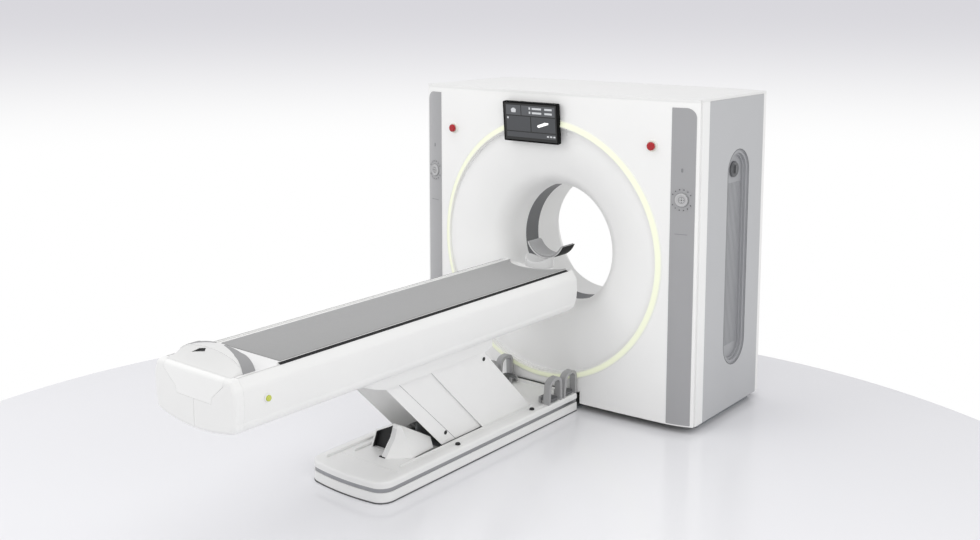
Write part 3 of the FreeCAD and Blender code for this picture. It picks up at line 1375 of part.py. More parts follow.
def cradle():
    """Tabletop: rounded underneath, dished for the mattress, with a pocket for the head cup."""
    h = N["cradle_half_width"]
    wire = arc_wire([Vector(h, cradle_foot, top), Vector(h, cradle_foot, cradle_low + 14),
                     (Vector(0, cradle_foot, cradle_low), Vector(-h, cradle_foot, cradle_low + 14)),
                     Vector(-h, cradle_foot, top)])
    solid = prism(wire, Vector(0, cradle_head - cradle_foot, 0))
    dish = mattress_plan(1.2, top - N["mattress_thick"] + 2, top + 5)
    head_dish = solid_box((-N["mattress_half_width"] - 1, N["mattress_half_width"] + 1),
                          (cradle_head - 130, cradle_head + 10), (top - N["mattress_thick"] + 2, top + 5))
    return solid.cut(dish.fuse(head_dish))


cradle_shape = cradle()
keep(shaped(cradle_shape), "cradle")
keep(shaped(mattress_plan(0, top - N["mattress_thick"] + 2.2, top + 2)), "mattress")


def hoop():
    """Pull hoop: a half ellipse across the tabletop, wider at its feet."""
    span, rise_h, thick = N["hoop_half_span"], N["hoop_rise"], N["hoop_thick"]
    mid = -N["hoop_middle"]

    def arch(a, b, y):
        share = math.sqrt(0.5)
        return [Vector(a, y, top), (Vector(a * math.cos(0.42), y, top + b * math.sin(0.42)),
                                    Vector(a * math.cos(0.9), y, top + b * math.sin(0.9))),
                (Vector(0, y, top + b), Vector(-a * math.cos(0.9), y, top + b * math.sin(0.9))),
                (Vector(-a * math.cos(0.42), y, top + b * math.sin(0.42)), Vector(-a, y, top))]
    y0 = mid - N["hoop_width"] / 2
    outer = prism(arc_wire(arch(span, rise_h, y0)), Vector(0, N["hoop_width"], 0))
    inner = prism(arc_wire(arch(span - thick * 1.6, rise_h - thick, y0 - 1)), Vector(0, N["hoop_width"] + 2, 0))
    return outer.cut(inner)


keep(shaped(hoop()), "pull_hoop")


def hoop_grips():
    """Two tapered pads laid on the hoop's outer flanks, narrow at the crown."""
    span, rise_h = N["hoop_half_span"], N["hoop_rise"]
    mid = -N["hoop_middle"]
    y0 = mid - N["hoop_width"] / 2

    def arch(a, b, z):
        return [Vector(a, y0, z), (Vector(a * math.cos(0.42), y0, top + b * math.sin(0.42)),
                                   Vector(a * math.cos(0.9), y0, top + b * math.sin(0.9))),
                (Vector(0, y0, top + b), Vector(-a * math.cos(0.9), y0, top + b * math.sin(0.9))),
                (Vector(-a * math.cos(0.42), y0, top + b * math.sin(0.42)), Vector(-a, y0, z))]
    width = Vector(0, N["hoop_width"], 0)
    skin = prism(arc_wire(arch(span + 2, rise_h + 2, top)), width).cut(prism(arc_wire(arch(span, rise_h, top)), width))
    taper = plan_prism([(span + 5, mid - 33, 0), (span + 5, mid + 33, 0), (30, mid + 31, 0), (30, mid + 22, 0)],
                       top - 1, top + 200)
    right = skin.common(taper)
    return Part.Compound([right, right.mirror(Vector(0, 0, 0), Vector(1, 0, 0))])


keep(shaped(hoop_grips()), "hoop_grips")

# head cup: a trough on a block that plugs into the head of the tabletop
cup_front, cup_back = -365, -365 + N["holder_length"]
cup_radius = N["holder_radius"]
cup_drop = math.sqrt(cup_radius ** 2 - N["holder_half_width"] ** 2)
cup_axis_z = N["holder_lip"] + cup_drop
CUP_WALL = 8


def head_cup():
    centre = Vector(0, cup_front, cup_axis_z)

    def at(r, degrees):
        a = math.radians(degrees)
        return centre + Vector(r * math.cos(a), 0, r * math.sin(a))
    lip = math.degrees(math.atan2(-cup_drop, N["holder_half_width"]))
    out = cup_radius + CUP_WALL
    wire = arc_wire([at(cup_radius, lip), (at(out - CUP_WALL / 2, lip + 1.8), at(out, lip)),
                     (at(out, -90), at(out, 180 - lip)), (at(out - CUP_WALL / 2, 180 - lip - 1.8),
                                                         at(cup_radius, 180 - lip)),
                     (at(cup_radius, -90), at(cup_radius, lip))])
    trough = prism(wire, Vector(0, N["holder_length"], 0))
    block = plan_prism([(118, cup_front - 6, 62), (118, cup_back - 12, 24), (-118, cup_back - 12, 24),
                        (-118, cup_front - 6, 62)], top - 55, N["holder_lip"] - 12)
    tongue = solid_box((-70, 70), (cradle_head - 100, cup_front + 20),
                       (top - N["mattress_thick"] + 2.3, top - 1))
    block = block.fuse(tongue)
    scooped = block.cut(solid_rod(out - 2, cup_front - 50, cup_back + 50, (0, cup_axis_z)))
    return trough.fuse(scooped)


keep(shaped(head_cup()), "head_cup")


def cup_pad():
    centre = Vector(0, cup_front + 4, cup_axis_z)

    def at(r, degrees):
        a = math.radians(degrees)
        return centre + Vector(r * math.cos(a), 0, r * math.sin(a))
    lip = -19.5
    wire = arc_wire([at(cup_radius - 0.3, lip), (at(cup_radius - 0.3, -90), at(cup_radius - 0.3, 180 - lip)),
                     at(cup_radius - 7, 180 - lip), (at(cup_radius - 7, -90), at(cup_radius - 7, lip))])
    return prism(wire, Vector(0, N["holder_length"] - 8, 0))


keep(shaped(cup_pad()), "head_cup_pad")

# linear guides: rails under the tabletop run over short blocks fixed on the housing's ledges
ledge_top = top - N["cradle_thick"] - 6
rail_low = ledge_top + 9


def guide_rails():
    rails = [solid_box(sorted((sx * (slot_out - 30), sx * (slot_out - 16))), (cradle_foot + 20, cradle_head - 40),
                       (rail_low, cradle_low + 20)) for sx in (-1, 1)]
    return Part.Compound([rail.cut(cradle_shape) for rail in rails])


def runner_blocks():
    """Short blocks, each with a groove that its rail runs in."""
    blocks = []
    for sx in (-1, 1):
        for y in (head_y - 850, head_y - 470, head_y - 110):
            block = solid_box(sorted((sx * (slot_out - 34), sx * (slot_out - 12))), (y, y + 90),
                              (ledge_top, rail_low + 3))
            groove = solid_box(sorted((sx * (slot_out - 30.4), sx * (slot_out - 15.6))), (y - 1, y + 91),
                               (rail_low - N["run_gap"], rail_low + 10))
            blocks.append(block.cut(groove))
    return blocks


keep(shaped(guide_rails()), "guide_rails")
keep(shaped(Part.Compound([carriage()] + runner_blocks() + pivot_pins(upper_foot, upper_head))),
     "table_carriage")


# ---- buttons on the table, pedals and guards on the base ----

release_y, release_z = -N["table_foot"] + 165, 738
side_face = half + 2.5
release_collar = turned([
    (S["release_radius"] + 0.4, 0), (S["release_radius"] + 5, 0), (S["release_radius"] + 5, 4),
    (S["release_radius"] + 3, 6), (S["release_radius"] + 0.4, 6),
], (side_face, release_y, release_z), Rotation(Vector(0, 0, 1), -90))
keep(group(housing, release_collar, mirrored(release_collar)), "table_housing")
release_right = turned([
    (0, 0.3), (S["release_radius"], 0.3), (S["release_radius"], S["release_travel"] + 3),
    (S["release_radius"] - 3, S["release_travel"] + 6), (0, S["release_travel"] + 6),
], (side_face + S["release_travel"], release_y, release_z), Rotation(Vector(0, 0, 1), -90))
keep(release_right, "release_button_right")
keep(mirrored(release_right), "release_button_left")

guard_ys = (-598, -449)
guard_x = (N["base_half_width"] - N["guard_deep"] - 5, N["base_half_width"] - 5)
guard_base = N["base_top"]


def guard_hoops():
    """Two arched guards side by side, joined by a foot flange, on one side of the base."""
    parts = []
    for y in guard_ys:
        w, tall = N["guard_wide"], N["guard_tall"]
        outer = side_prism([(y - w / 2, guard_base, 0), (y + w / 2, guard_base, 0),
                            (y + w / 2 - 6, guard_base + tall, 46), (y - w / 2 + 14, guard_base + tall - 12, 50)],
                           *guard_x)
        b = N["guard_bar"]
        inner = side_prism([(y - w / 2 + b, guard_base - 1, 0), (y + w / 2 - b, guard_base - 1, 0),
                            (y + w / 2 - 6 - b, guard_base + tall - b, 30),
                            (y - w / 2 + 14 + b, guard_base + tall - 12 - b, 34)],
                           guard_x[0] - 1, guard_x[1] + 1)
        parts.append(outer.cut(inner))
    return parts


PEDAL_GAP = 9


def pedal_pin_rod(y, radius, reach):
    """The axis that a pedal swings on, along the base."""
    x = N["base_half_width"] - N["pedal_length"] - 20
    z = guard_base + PEDAL_GAP + N["pedal_thick"] / 2
    return Part.makeCylinder(radius, reach * 2, Vector(x, y - reach, z), Vector(0, 1, 0))


def pedal(y):
    """Foot pedal: a rounded paddle with ribs, hinged at its inboard end."""
    x_in = N["base_half_width"] - N["pedal_length"] - 10
    low = guard_base + PEDAL_GAP
    w = N["pedal_wide"] / 2
    paddle = plan_prism([(x_in, y - w, 10), (x_in + N["pedal_length"], y - w, 26),
                         (x_in + N["pedal_length"], y + w, 26), (x_in, y + w, 10)], low, low + N["pedal_thick"])
    ribs = [solid_box((x_in + 22 + i * 12, x_in + 27 + i * 12), (y - w + 14, y + w - 14),
                      (low + N["pedal_thick"] - 1, low + N["pedal_thick"] + 2)) for i in range(4)]
    lug = solid_box((x_in - 17, x_in + 6), (y - 20.6, y + 20.6), (low, low + N["pedal_thick"]))
    pin_hole = pedal_pin_rod(y, N["pedal_pin"] + N["pin_clearance"], 21)
    return paddle.fuse(ribs + [lug]).cut(pin_hole)


for index, y in enumerate(guard_ys, 1):
    right = keep(shaped(pedal(y)), f"foot_pedal_right_{index}")
    keep(mirrored(right), f"foot_pedal_left_{index}")


def pedal_hinges():
    """Hinge blocks with a pin through each pedal's inboard end."""
    x_in = N["base_half_width"] - N["pedal_length"] - 10
    high = guard_base + PEDAL_GAP + N["pedal_thick"]
    hinges = []
    for y in guard_ys:
        ends = [solid_box((x_in - 18, x_in - 2), (y + dy, y + dy + 10), (tray_level, high)) for dy in (-31, 21)]
        hinges.append(pedal_pin_rod(y, N["pedal_pin"], 25).fuse(ends))
    return hinges


right_guards = guard_hoops() + pedal_hinges()
left_guards = [part.mirror(Vector(0, 0, 0), Vector(1, 0, 0)) for part in right_guards]
keep(shaped(Part.Compound(right_guards + left_guards)), "pedal_guards")


# ---- check and write ----

doc.recompute()
faults = [f"{obj.Name}: {obj.State}" for obj in doc.Objects
          if any(word in obj.State for word in ("Invalid", "Error"))]
os.makedirs("parts", exist_ok=True)
facets = 0
for piece in pieces:
    shape = piece.Shape
    if shape.isNull() or not shape.isValid() or not shape.Solids:
        faults.append(f"{piece.Label}: no valid solid")
        continue
    facets += len(shape.tessellate(0.5)[1])
if faults:
    raise RuntimeError("; ".join(faults))
for piece in pieces:
    piece.Shape.exportStep(f"parts/{piece.Label}.step")
print(f"{len(pieces)} pieces, {sum(len(p.Shape.Solids) for p in pieces)} solids, about {facets} facets")
print("arm length", round(arm_length, 1), "pivots", foot_low, head_low, upper_foot, upper_head)
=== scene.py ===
import math

import bmesh
import bpy
from mathutils import Matrix, Vector


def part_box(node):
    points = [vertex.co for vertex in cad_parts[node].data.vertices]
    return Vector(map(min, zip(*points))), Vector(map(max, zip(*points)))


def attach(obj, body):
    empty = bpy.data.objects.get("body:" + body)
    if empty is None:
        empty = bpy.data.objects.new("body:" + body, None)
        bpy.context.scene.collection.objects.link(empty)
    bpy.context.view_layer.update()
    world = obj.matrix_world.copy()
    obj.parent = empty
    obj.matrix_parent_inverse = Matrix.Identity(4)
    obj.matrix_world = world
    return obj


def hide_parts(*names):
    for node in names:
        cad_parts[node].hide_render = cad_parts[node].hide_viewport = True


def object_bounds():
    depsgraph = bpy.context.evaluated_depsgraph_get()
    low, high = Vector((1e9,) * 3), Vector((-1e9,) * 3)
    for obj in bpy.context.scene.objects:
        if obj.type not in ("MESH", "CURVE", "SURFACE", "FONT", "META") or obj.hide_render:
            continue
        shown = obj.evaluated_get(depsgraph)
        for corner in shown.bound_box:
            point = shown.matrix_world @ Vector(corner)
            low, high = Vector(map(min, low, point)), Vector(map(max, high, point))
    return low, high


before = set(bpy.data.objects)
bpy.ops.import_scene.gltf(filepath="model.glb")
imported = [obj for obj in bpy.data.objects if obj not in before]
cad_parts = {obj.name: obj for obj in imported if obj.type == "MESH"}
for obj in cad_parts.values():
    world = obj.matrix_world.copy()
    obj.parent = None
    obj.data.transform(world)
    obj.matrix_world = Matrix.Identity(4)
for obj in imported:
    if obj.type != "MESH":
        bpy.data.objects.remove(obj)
cad_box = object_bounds()

# ------------ sizes in metres

MM = 0.001
GANTRY = "gantry_and_base"
TABLE = "table"
TABLETOP = "tabletop"
FOOT_ARM = "lift_arm_foot"
GANTRY_ARM = "lift_arm_gantry"
SIDES = (1, -1)  # right and left, as factors of x

ring_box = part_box("light_ring")
dial_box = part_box("control_dial_right")
glass_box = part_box("display_glass")
mattress_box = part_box("mattress")

axis_height = (ring_box[0].z + ring_box[1].z) / 2
ring_outer = (ring_box[1].x - ring_box[0].x) / 2
ring_width = 40 * MM
ring_inner = ring_outer - ring_width
display_tilt = math.radians(5)
glass_thick = 3.5 * MM
plug_steps = 20  # sides of small round plugs and caps

# the front cover's plan: a shallow arc across the middle, a tighter one at each edge
cover_crown = 0.375
sweep_radius = 10.0
bend_radius = 0.45
bend_start = 0.805
bend_turn = math.asin(bend_start / sweep_radius)
bend_x = (sweep_radius - bend_radius) * math.sin(bend_turn)
bend_drop = sweep_radius - (sweep_radius - bend_radius) * math.cos(bend_turn)

# ------------ helpers


def linear(code):
    """Linear colour from an sRGB hex code."""
    channels = [int(code[i:i + 2], 16) / 255 for i in (1, 3, 5)]
    return tuple(c / 12.92 if c <= 0.04045 else ((c + 0.055) / 1.055) ** 2.4 for c in channels) + (1.0,)


def per_metre(size_mm):
    """Texture scale that gives features of that many millimetres."""
    return 1 / (size_mm * MM)


def add(tree, kind, inputs=None, **settings):
    """Adds a node with its settings; inputs maps a socket to a value or to another node's output."""
    node = tree.nodes.new(kind)
    for name, value in settings.items():
        setattr(node, name, value)
    for key, value in (inputs or {}).items():
        if isinstance(value, bpy.types.NodeSocket):
            tree.links.new(value, node.inputs[key])
        else:
            node.inputs[key].default_value = value
    return node


def start_material(name, **constants):
    """A new material; the constants go straight on its shader's sockets."""
    material = bpy.data.materials.new(name)
    material.use_nodes = True
    tree = material.node_tree
    shader = tree.nodes["Principled BSDF"]
    for key, value in constants.items():
        shader.inputs[key.replace("_", " ")].default_value = value
    return material, tree, shader


# ------------ materials
# Each grain is drawn a few times coarser than the real one, which would be too fine to show.


def moulded(name, colour, shade, roughness, grain_mm=2.0, relief_mm=0.015, cloud_mm=260, **constants):
    """Moulded or sprayed plastic: a fine even grain, and a faint cloudiness in the pigment."""
    material, tree, shader = start_material(name, Roughness=roughness, IOR=1.5, **constants)
    where = add(tree, "ShaderNodeTexCoord").outputs["Object"]
    cloud = add(tree, "ShaderNodeTexNoise", {"Vector": where, "Scale": per_metre(cloud_mm), "Detail": 3})
    tone = add(tree, "ShaderNodeMix", {0: cloud.outputs["Fac"], 6: linear(colour), 7: linear(shade)},
               data_type="RGBA")
    grain = add(tree, "ShaderNodeTexNoise", {"Vector": where, "Scale": per_metre(grain_mm), "Detail": 2})
    bump = add(tree, "ShaderNodeBump",
               {"Height": grain.outputs["Fac"], "Distance": relief_mm * MM, "Strength": 0.7})
    tree.links.new(tone.outputs[2], shader.inputs["Base Color"])
    tree.links.new(bump.outputs["Normal"], shader.inputs["Normal"])
    return material


def metal(name, colour, roughness, grain_mm, stretch, relief_mm=0.01):
    """Bare metal: a grain drawn out along one axis by the brush or the lathe, uneven in its polish."""
    material, tree, shader = start_material(name, Metallic=1.0, Base_Color=linear(colour))
    where = add(tree, "ShaderNodeTexCoord").outputs["Object"]
    drawn = add(tree, "ShaderNodeMapping", {"Vector": where, "Scale": stretch})
    grain = add(tree, "ShaderNodeTexNoise",
                {"Vector": drawn.outputs["Vector"], "Scale": per_metre(grain_mm), "Detail": 4})
    polish = add(tree, "ShaderNodeMapRange",
                 {"Value": grain.outputs["Fac"], "To Min": roughness * 0.85, "To Max": roughness * 1.2})
    bump = add(tree, "ShaderNodeBump",
               {"Height": grain.outputs["Fac"], "Distance": relief_mm * MM, "Strength": 0.5})
    tree.links.new(polish.outputs["Result"], shader.inputs["Roughness"])
    tree.links.new(bump.outputs["Normal"], shader.inputs["Normal"])
    return material


def coated_fabric(name, colour, shade, grain_mm=3.0):
    """Coated upholstery fabric: soft rounded leather-like cells with darker creases between them."""
    material, tree, shader = start_material(name, Roughness=0.62, IOR=1.48, Sheen_Weight=0.12,
                                            Sheen_Roughness=0.5)
    where = add(tree, "ShaderNodeTexCoord").outputs["Object"]
    cells = add(tree, "ShaderNodeTexVoronoi", {"Vector": where, "Scale": per_metre(grain_mm)},
                feature="DISTANCE_TO_EDGE")
    crease = add(tree, "ShaderNodeMapRange", {"Value": cells.outputs["Distance"], "From Max": 0.12})
    tone = add(tree, "ShaderNodeMix", {0: crease.outputs["Result"], 6: linear(shade), 7: linear(colour)},
               data_type="RGBA")
    bump = add(tree, "ShaderNodeBump",
               {"Height": crease.outputs["Result"], "Distance": 0.12 * MM, "Strength": 0.5})
    tree.links.new(tone.outputs[2], shader.inputs["Base Color"])
    tree.links.new(bump.outputs["Normal"], shader.inputs["Normal"])
    return material


def glowing(name, colour, strength, body_colour):
    """A lit pixel or lens: it shines evenly with its own colour."""
    return start_material(name, Base_Color=linear(body_colour), Roughness=0.35, IOR=1.49,
                          Emission_Color=linear(colour), Emission_Strength=strength)[0]


def plain_gloss(name, colour, roughness=0.12, **constants):
    """Small gloss parts with no grain to see: their polish is slightly uneven."""
    material, tree, shader = start_material(name, Base_Color=linear(colour), IOR=1.52, **constants)
    where = add(tree, "ShaderNodeTexCoord").outputs["Object"]
    smear = add(tree, "ShaderNodeTexNoise", {"Vector": where, "Scale": per_metre(30), "Detail": 3})
    polish = add(tree, "ShaderNodeMapRange",
                 {"Value": smear.outputs["Fac"], "To Min": roughness * 0.7, "To Max": roughness * 1.4})
    tree.links.new(polish.outputs["Result"], shader.inputs["Roughness"])
    return material


# Satin two-part paint on polyurethane moulding: broad soft highlights on an even warm white.
COVER = moulded("satin_paint_on_polyurethane_cover", "#F4F4F3", "#F0F0EF", 0.42)
# The same paint on the sheet roof, a little duller.
ROOF = moulded("satin_paint_on_roof_sheet", "#ECECEB", "#E8E8E7", 0.5)
# Grey satin paint on the side panels: reads clearly darker than the white covers.
SIDE = moulded("satin_grey_paint_on_side_panel", "#BEBFC1", "#BABBBD", 0.45)
# Thermoformed ABS of the recess: a slight gloss shows its ribs.
RECESS = moulded("thermoformed_grey_abs_recess", "#A8A9AC", "#A2A3A6", 0.36)
# Nylon of the quarter-turn locks: the darkest part of the recess.
LOCK = moulded("moulded_grey_nylon_lock", "#68696B", "#636466", 0.4)
# Matt printed polyester film over the keys.
STRIP = moulded("matt_polyester_control_film", "#A2A2A4", "#9E9EA0", 0.3, relief_mm=0.004, Sheen_Weight=0.7,
                Sheen_Roughness=0.45)
# Satin ABS of the press pads, paler than the film round them.
DIAL = moulded("satin_moulded_press_pad", "#BDBDBE", "#B8B8B9", 0.4)


def lit_ring():
    """Acrylic light guide: pale yellow green along its middle, milky towards both edges."""
    material, tree, shader = start_material("lit_acrylic_light_guide", Roughness=0.35, IOR=1.49)
    where = add(tree, "ShaderNodeTexCoord").outputs["Object"]
    from_axis = add(tree, "ShaderNodeVectorMath", {0: where, 1: (0, 0, axis_height)}, operation="SUBTRACT")
    flat = add(tree, "ShaderNodeVectorMath", {0: from_axis.outputs["Vector"], 1: (1, 0, 1)},
               operation="MULTIPLY")
    radius = add(tree, "ShaderNodeVectorMath", {0: flat.outputs["Vector"]}, operation="LENGTH")
    middle = (ring_outer + ring_inner) / 2
    off_middle = add(tree, "ShaderNodeMath", {0: radius.outputs["Value"], 1: middle}, operation="SUBTRACT")
    apart = add(tree, "ShaderNodeMath", {0: off_middle.outputs[0]}, operation="ABSOLUTE")
    fade = add(tree, "ShaderNodeMapRange",
               {"Value": apart.outputs[0], "From Min": ring_width / 5, "From Max": ring_width / 2},
               interpolation_type="SMOOTHSTEP")
    body = add(tree, "ShaderNodeMix",
               {0: fade.outputs["Result"], 6: linear("#DADCCA"), 7: linear("#ECECE6")}, data_type="RGBA")
    light = add(tree, "ShaderNodeMix",
                {0: fade.outputs["Result"], 6: linear("#8C9078"), 7: linear("#30312D")}, data_type="RGBA")
    tree.links.new(body.outputs[2], shader.inputs["Base Color"])
    tree.links.new(light.outputs[2], shader.inputs["Emission Color"])
    shader.inputs["Emission Strength"].default_value = 1.0
    return material


RING = lit_ring()
# Polyester window of the beam's path, dark grey and matt.
WINDOW = moulded("matt_grey_polyester_window", "#6C6D6F", "#67686A", 0.5, relief_mm=0.004)
# Black moulded ABS, matt: the display's frame gives no highlight.
BEZEL = moulded("black_abs_display_bezel", "#08090A", "#060607", 0.6, Specular_IOR_Level=0.1)
# Glass printed black behind: a clean sharp reflection on a deep black.
GLASS = plain_gloss("black_backed_cover_glass", "#08090A", 0.08, Coat_Weight=0.1)
# Liquid-crystal picture behind the glass: dim grey panes, paler rows, a near-white table.
PANE = glowing("lit_display_pane", "#626468", 0.55, "#2A2B2D")
PANE_DARK = glowing("lit_display_pane_dark", "#54565A", 0.5, "#242527")
WORDS = glowing("lit_display_rows", "#B9BBBE", 0.8, "#8A8B8D")
PICTURE = glowing("lit_display_table_icon", "#F2F3F3", 0.9, "#C8C8C8")
# Injection-moulded ABS of the stops: a glossy red head in a pale collar.
STOP = plain_gloss("gloss_red_abs_stop_button", "#AA141E", 0.2)
COLLAR = plain_gloss("gloss_pale_abs_stop_collar", "#E9E9DF", 0.2)
# Screen-printed ink: flat and matt, with no relief to see.
PRINT = moulded("dark_grey_screen_print", "#5C5D5F", "#585959", 0.6, relief_mm=0.002)
PRINT_PALE = moulded("pale_grey_screen_print", "#C9C9CA", "#C4C4C5", 0.6, relief_mm=0.002)
# Lens of the positioning laser: a small pink spot in the bore.
LASER = glowing("red_laser_aperture", "#FF5A4A", 2.5, "#F8D8D2")

# Powder coat on welded steel: a coarse orange peel.
FRAME = moulded("powder_coated_steel", "#8A8F94", "#858A8F", 0.5, grain_mm=1.2, relief_mm=0.03)
# Metals of the turning part: ground steel is bright, cast aluminium soft, brass warm.
BEARING = metal("ground_bearing_steel", "#B9B9B8", 0.24, 1.0, (1, 14, 1))
ROTOR = metal("machined_cast_aluminium", "#C4C6C8", 0.38, 2.0, (1, 8, 1))
BRASS = metal("turned_brass_slip_ring", "#C9A24A", 0.26, 0.8, (1, 10, 1))
# Enamel and powder coat of the parts that the disc carries.
TUBE = moulded("enamelled_tube_housing", "#DAD9D2", "#D4D3CC", 0.3, Coat_Weight=0.3)
CASE = moulded("powder_coated_electronics_case", "#4E5D68", "#495863", 0.5, grain_mm=1.2, relief_mm=0.03)
# Anodised aluminium, brushed lengthwise: a dull grey sheen.
DETECTOR = metal("anodised_detector_case", "#8E9196", 0.42, 1.2, (10, 1, 1))
# Rubber and black enamel of the drive: the darkest pieces inside.
BELT = moulded("ribbed_rubber_belt", "#1C1C1C", "#171717", 0.75)
MOTOR = moulded("black_enamelled_motor", "#33363A", "#2F3236", 0.42)

# Satin mouldings of the table; the gelcoat of the cradle and the head cup has a clearer shine.
HOUSING = moulded("satin_moulded_table_housing", "#EEEEED", "#EAEAE9", 0.34)
CAP = moulded("satin_moulded_end_cap", "#F0F0EF", "#ECECEB", 0.36)
FASCIA = moulded("satin_moulded_fascia", "#F4F4F3", "#F0F0EF", 0.4)
CRADLE = moulded("gloss_gelcoat_on_carbon_cradle", "#F1F1F0", "#EDEDEC", 0.22, Coat_Weight=0.3)
HOOP = moulded("satin_moulded_pull_hoop", "#E2E2E1", "#DEDEDD", 0.3)
# Soft-touch elastomer: matt, with no clear highlight.
GRIP = moulded("soft_touch_elastomer_grip", "#9C9C9D", "#979798", 0.68, grain_mm=1.5, relief_mm=0.03)
# Coated woven fabric over foam: an even matt grey that shows its fine creases close to.
MATTRESS = coated_fabric("grey_coated_mattress_fabric", "#9F9F9F", "#959595")
CUP = moulded("gloss_gelcoat_head_cup", "#D4D4D4", "#CFCFCF", 0.22, Coat_Weight=0.3)
CUP_PAD = coated_fabric("grey_skinned_foam_cup_liner", "#A9A9AA", "#9F9FA0", 2.4)
# Satin mouldings of the base: the deck is a shade darker than its sides.
BASE = moulded("satin_moulded_base_cover", "#F1F1F0", "#EDEDEC", 0.4)
DECK = moulded("satin_moulded_base_deck", "#EFEFEE", "#EBEBEA", 0.42)
SHROUD = moulded("satin_moulded_lift_shroud", "#F6F6F5", "#F2F2F1", 0.36)
# Brushed anodised aluminium: a silver line round the base.
TRIM = metal("brushed_anodised_trim_band", "#A9AAAC", 0.34, 0.6, (1, 0.03, 1))
# Enamelled cast iron and vacuum-formed covers of the lift arms.
CASTING = moulded("enamelled_cast_arm", "#B6B7B9", "#B1B2B4", 0.45, grain_mm=1.4, relief_mm=0.03)
PANEL = moulded("satin_vacuum_formed_arm_cover", "#F5F5F4", "#F1F1F0", 0.38)
# Gloss ABS: the one yellow-green spot of the table.
BUTTON = plain_gloss("gloss_yellow_green_release_button", "#C3CB58", 0.2)
# Ribbed rubber, enamelled steel and powder coat: three dull greys.
PEDAL = moulded("ribbed_rubber_pedal", "#6D6E70", "#68696B", 0.7, grain_mm=1.2, relief_mm=0.03)
GUARD = moulded("enamelled_steel_guard", "#A9A9AA", "#A4A4A5", 0.32)
BRACKET = moulded("powder_coated_bracket", "#A4A6A9", "#9FA1A4", 0.5, grain_mm=1.2, relief_mm=0.03)
# Black nylon, moulded: screw caps and slats. The same black is painted shade in small openings: inside the
# lift shroud and in the hoop's hand hole.
BLACK_AND_SHADE = moulded("black_nylon_and_painted_shade", "#1E1F20", "#1A1B1C", 0.5)
# Matt grey sealant in the joints of the mouldings: a thin soft line.
JOINT = moulded("grey_joint_sealant", "#A4A5A6", "#9E9FA0", 0.8)
# Extruded black rubber beside the tabletop: dull. The same black on the head cup's outer sides below each lip
# is painted shade under its wings.
SEAL_AND_SHADE = moulded("black_rubber_seal_and_painted_shade", "#161616", "#121212", 0.7, grain_mm=1.0)
# Painted shade down the shroud's front channel: a little greyer than the moulding.
CHANNEL_SHADE = moulded("painted_shade_shroud_channel", "#E2E2E2", "#DDDDDD", 0.5)
# Dull dark line under the base and round the recesses: painted shadow of the gap under the base, and painted
# shade at the recesses' edges.
EDGE_SHADE = moulded("dark_edge_painted_shade", "#5E5F61", "#58595B", 0.7, grain_mm=1.0)
# Thin grey ink on the control film: it hardly stands out.
FAINT_PRINT = moulded("faint_grey_screen_print", "#87888A", "#838486", 0.6, relief_mm=0.002)

FINISHES = {
    COVER: ["front_cover", "front_funnel", "rear_cover", "rear_funnel", "corner_posts"],
    ROOF: ["roof_panel"],
    SIDE: ["side_covers"],
    RECESS: ["side_recess_pans"],
    LOCK: ["side_lock_right", "side_lock_left"],
    STRIP: ["control_strips"],
    DIAL: ["control_dial_right", "control_dial_left"],
    RING: ["light_ring"],
    WINDOW: ["scan_window"],
    BEZEL: ["display_bezel"],
    GLASS: ["display_glass"],
    STOP: ["emergency_stop_right", "emergency_stop_left"],
    COLLAR: ["emergency_stop_collars"],
    FRAME: ["floor_frames", "stator_frame"],
    BEARING: ["bearing_outer_race", "bearing_inner_race", "guide_rails", "drive_pulley"],
    ROTOR: ["rotor_disc"],
    BRASS: ["slip_ring"],
    TUBE: ["xray_tube"],
    CASE: ["high_voltage_units"],
    DETECTOR: ["detector_array"],
    BELT: ["drive_belt"],
    MOTOR: ["drive_motor"],
    HOUSING: ["table_housing"],
    CAP: ["foot_caps", "lift_skirt"],
    FASCIA: ["foot_fascia"],
    CRADLE: ["cradle"],
    HOOP: ["pull_hoop"],
    GRIP: ["hoop_grips"],
    MATTRESS: ["mattress"],
    CUP: ["head_cup"],
    CUP_PAD: ["head_cup_pad"],
    BASE: ["base_skirt"],
    DECK: ["base_deck"],
    SHROUD: ["lift_shroud"],
    TRIM: ["base_trim_band"],
    CASTING: ["foot_arm", "gantry_arm"],
    PANEL: ["foot_arm_cover", "gantry_arm_cover"],
    BUTTON: ["release_button_right", "release_button_left"],
    PEDAL: [f"foot_pedal_{side}_{number}" for side in ("right", "left") for number in (1, 2)],
    GUARD: ["pedal_guards"],
    BRACKET: ["lower_bracket", "table_carriage"],
}
for finish, names in FINISHES.items():
    for name in names:
        for material_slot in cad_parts[name].material_slots:
            material_slot.material = finish


# ------------ mesh makers


def piece(name, mesh, body, finish=None):
    """Puts a mesh in the scene as a piece that rides on a body."""
    if finish is not None:
        mesh.materials.clear()
        mesh.materials.append(finish)
    mesh.shade_smooth()
    mesh.set_sharp_from_angle(angle=math.radians(35))
    made = bpy.data.objects.new(name, mesh)
    bpy.context.scene.collection.objects.link(made)
    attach(made, body)
    return made


def closed_mesh(name, shapes, where=None):
    """One mesh from closed shapes, each (corners, faces), set in place by a matrix."""
    body = bmesh.new()
    for points, faces in shapes:
        made = [body.verts.new(point) for point in points]
        for face in faces:
            body.faces.new([made[i] for i in face])
    bmesh.ops.remove_doubles(body, verts=body.verts, dist=1e-6)
    bmesh.ops.recalc_face_normals(body, faces=body.faces)
    if where is not None:
        body.transform(where)
    mesh = bpy.data.meshes.new(name)
    body.to_mesh(mesh)
    body.free()
    return mesh


def shaped(name, shapes, body, finish, where=None):
    """A piece made of closed shapes."""
    return piece(name, closed_mesh(name, shapes, where), body, finish)


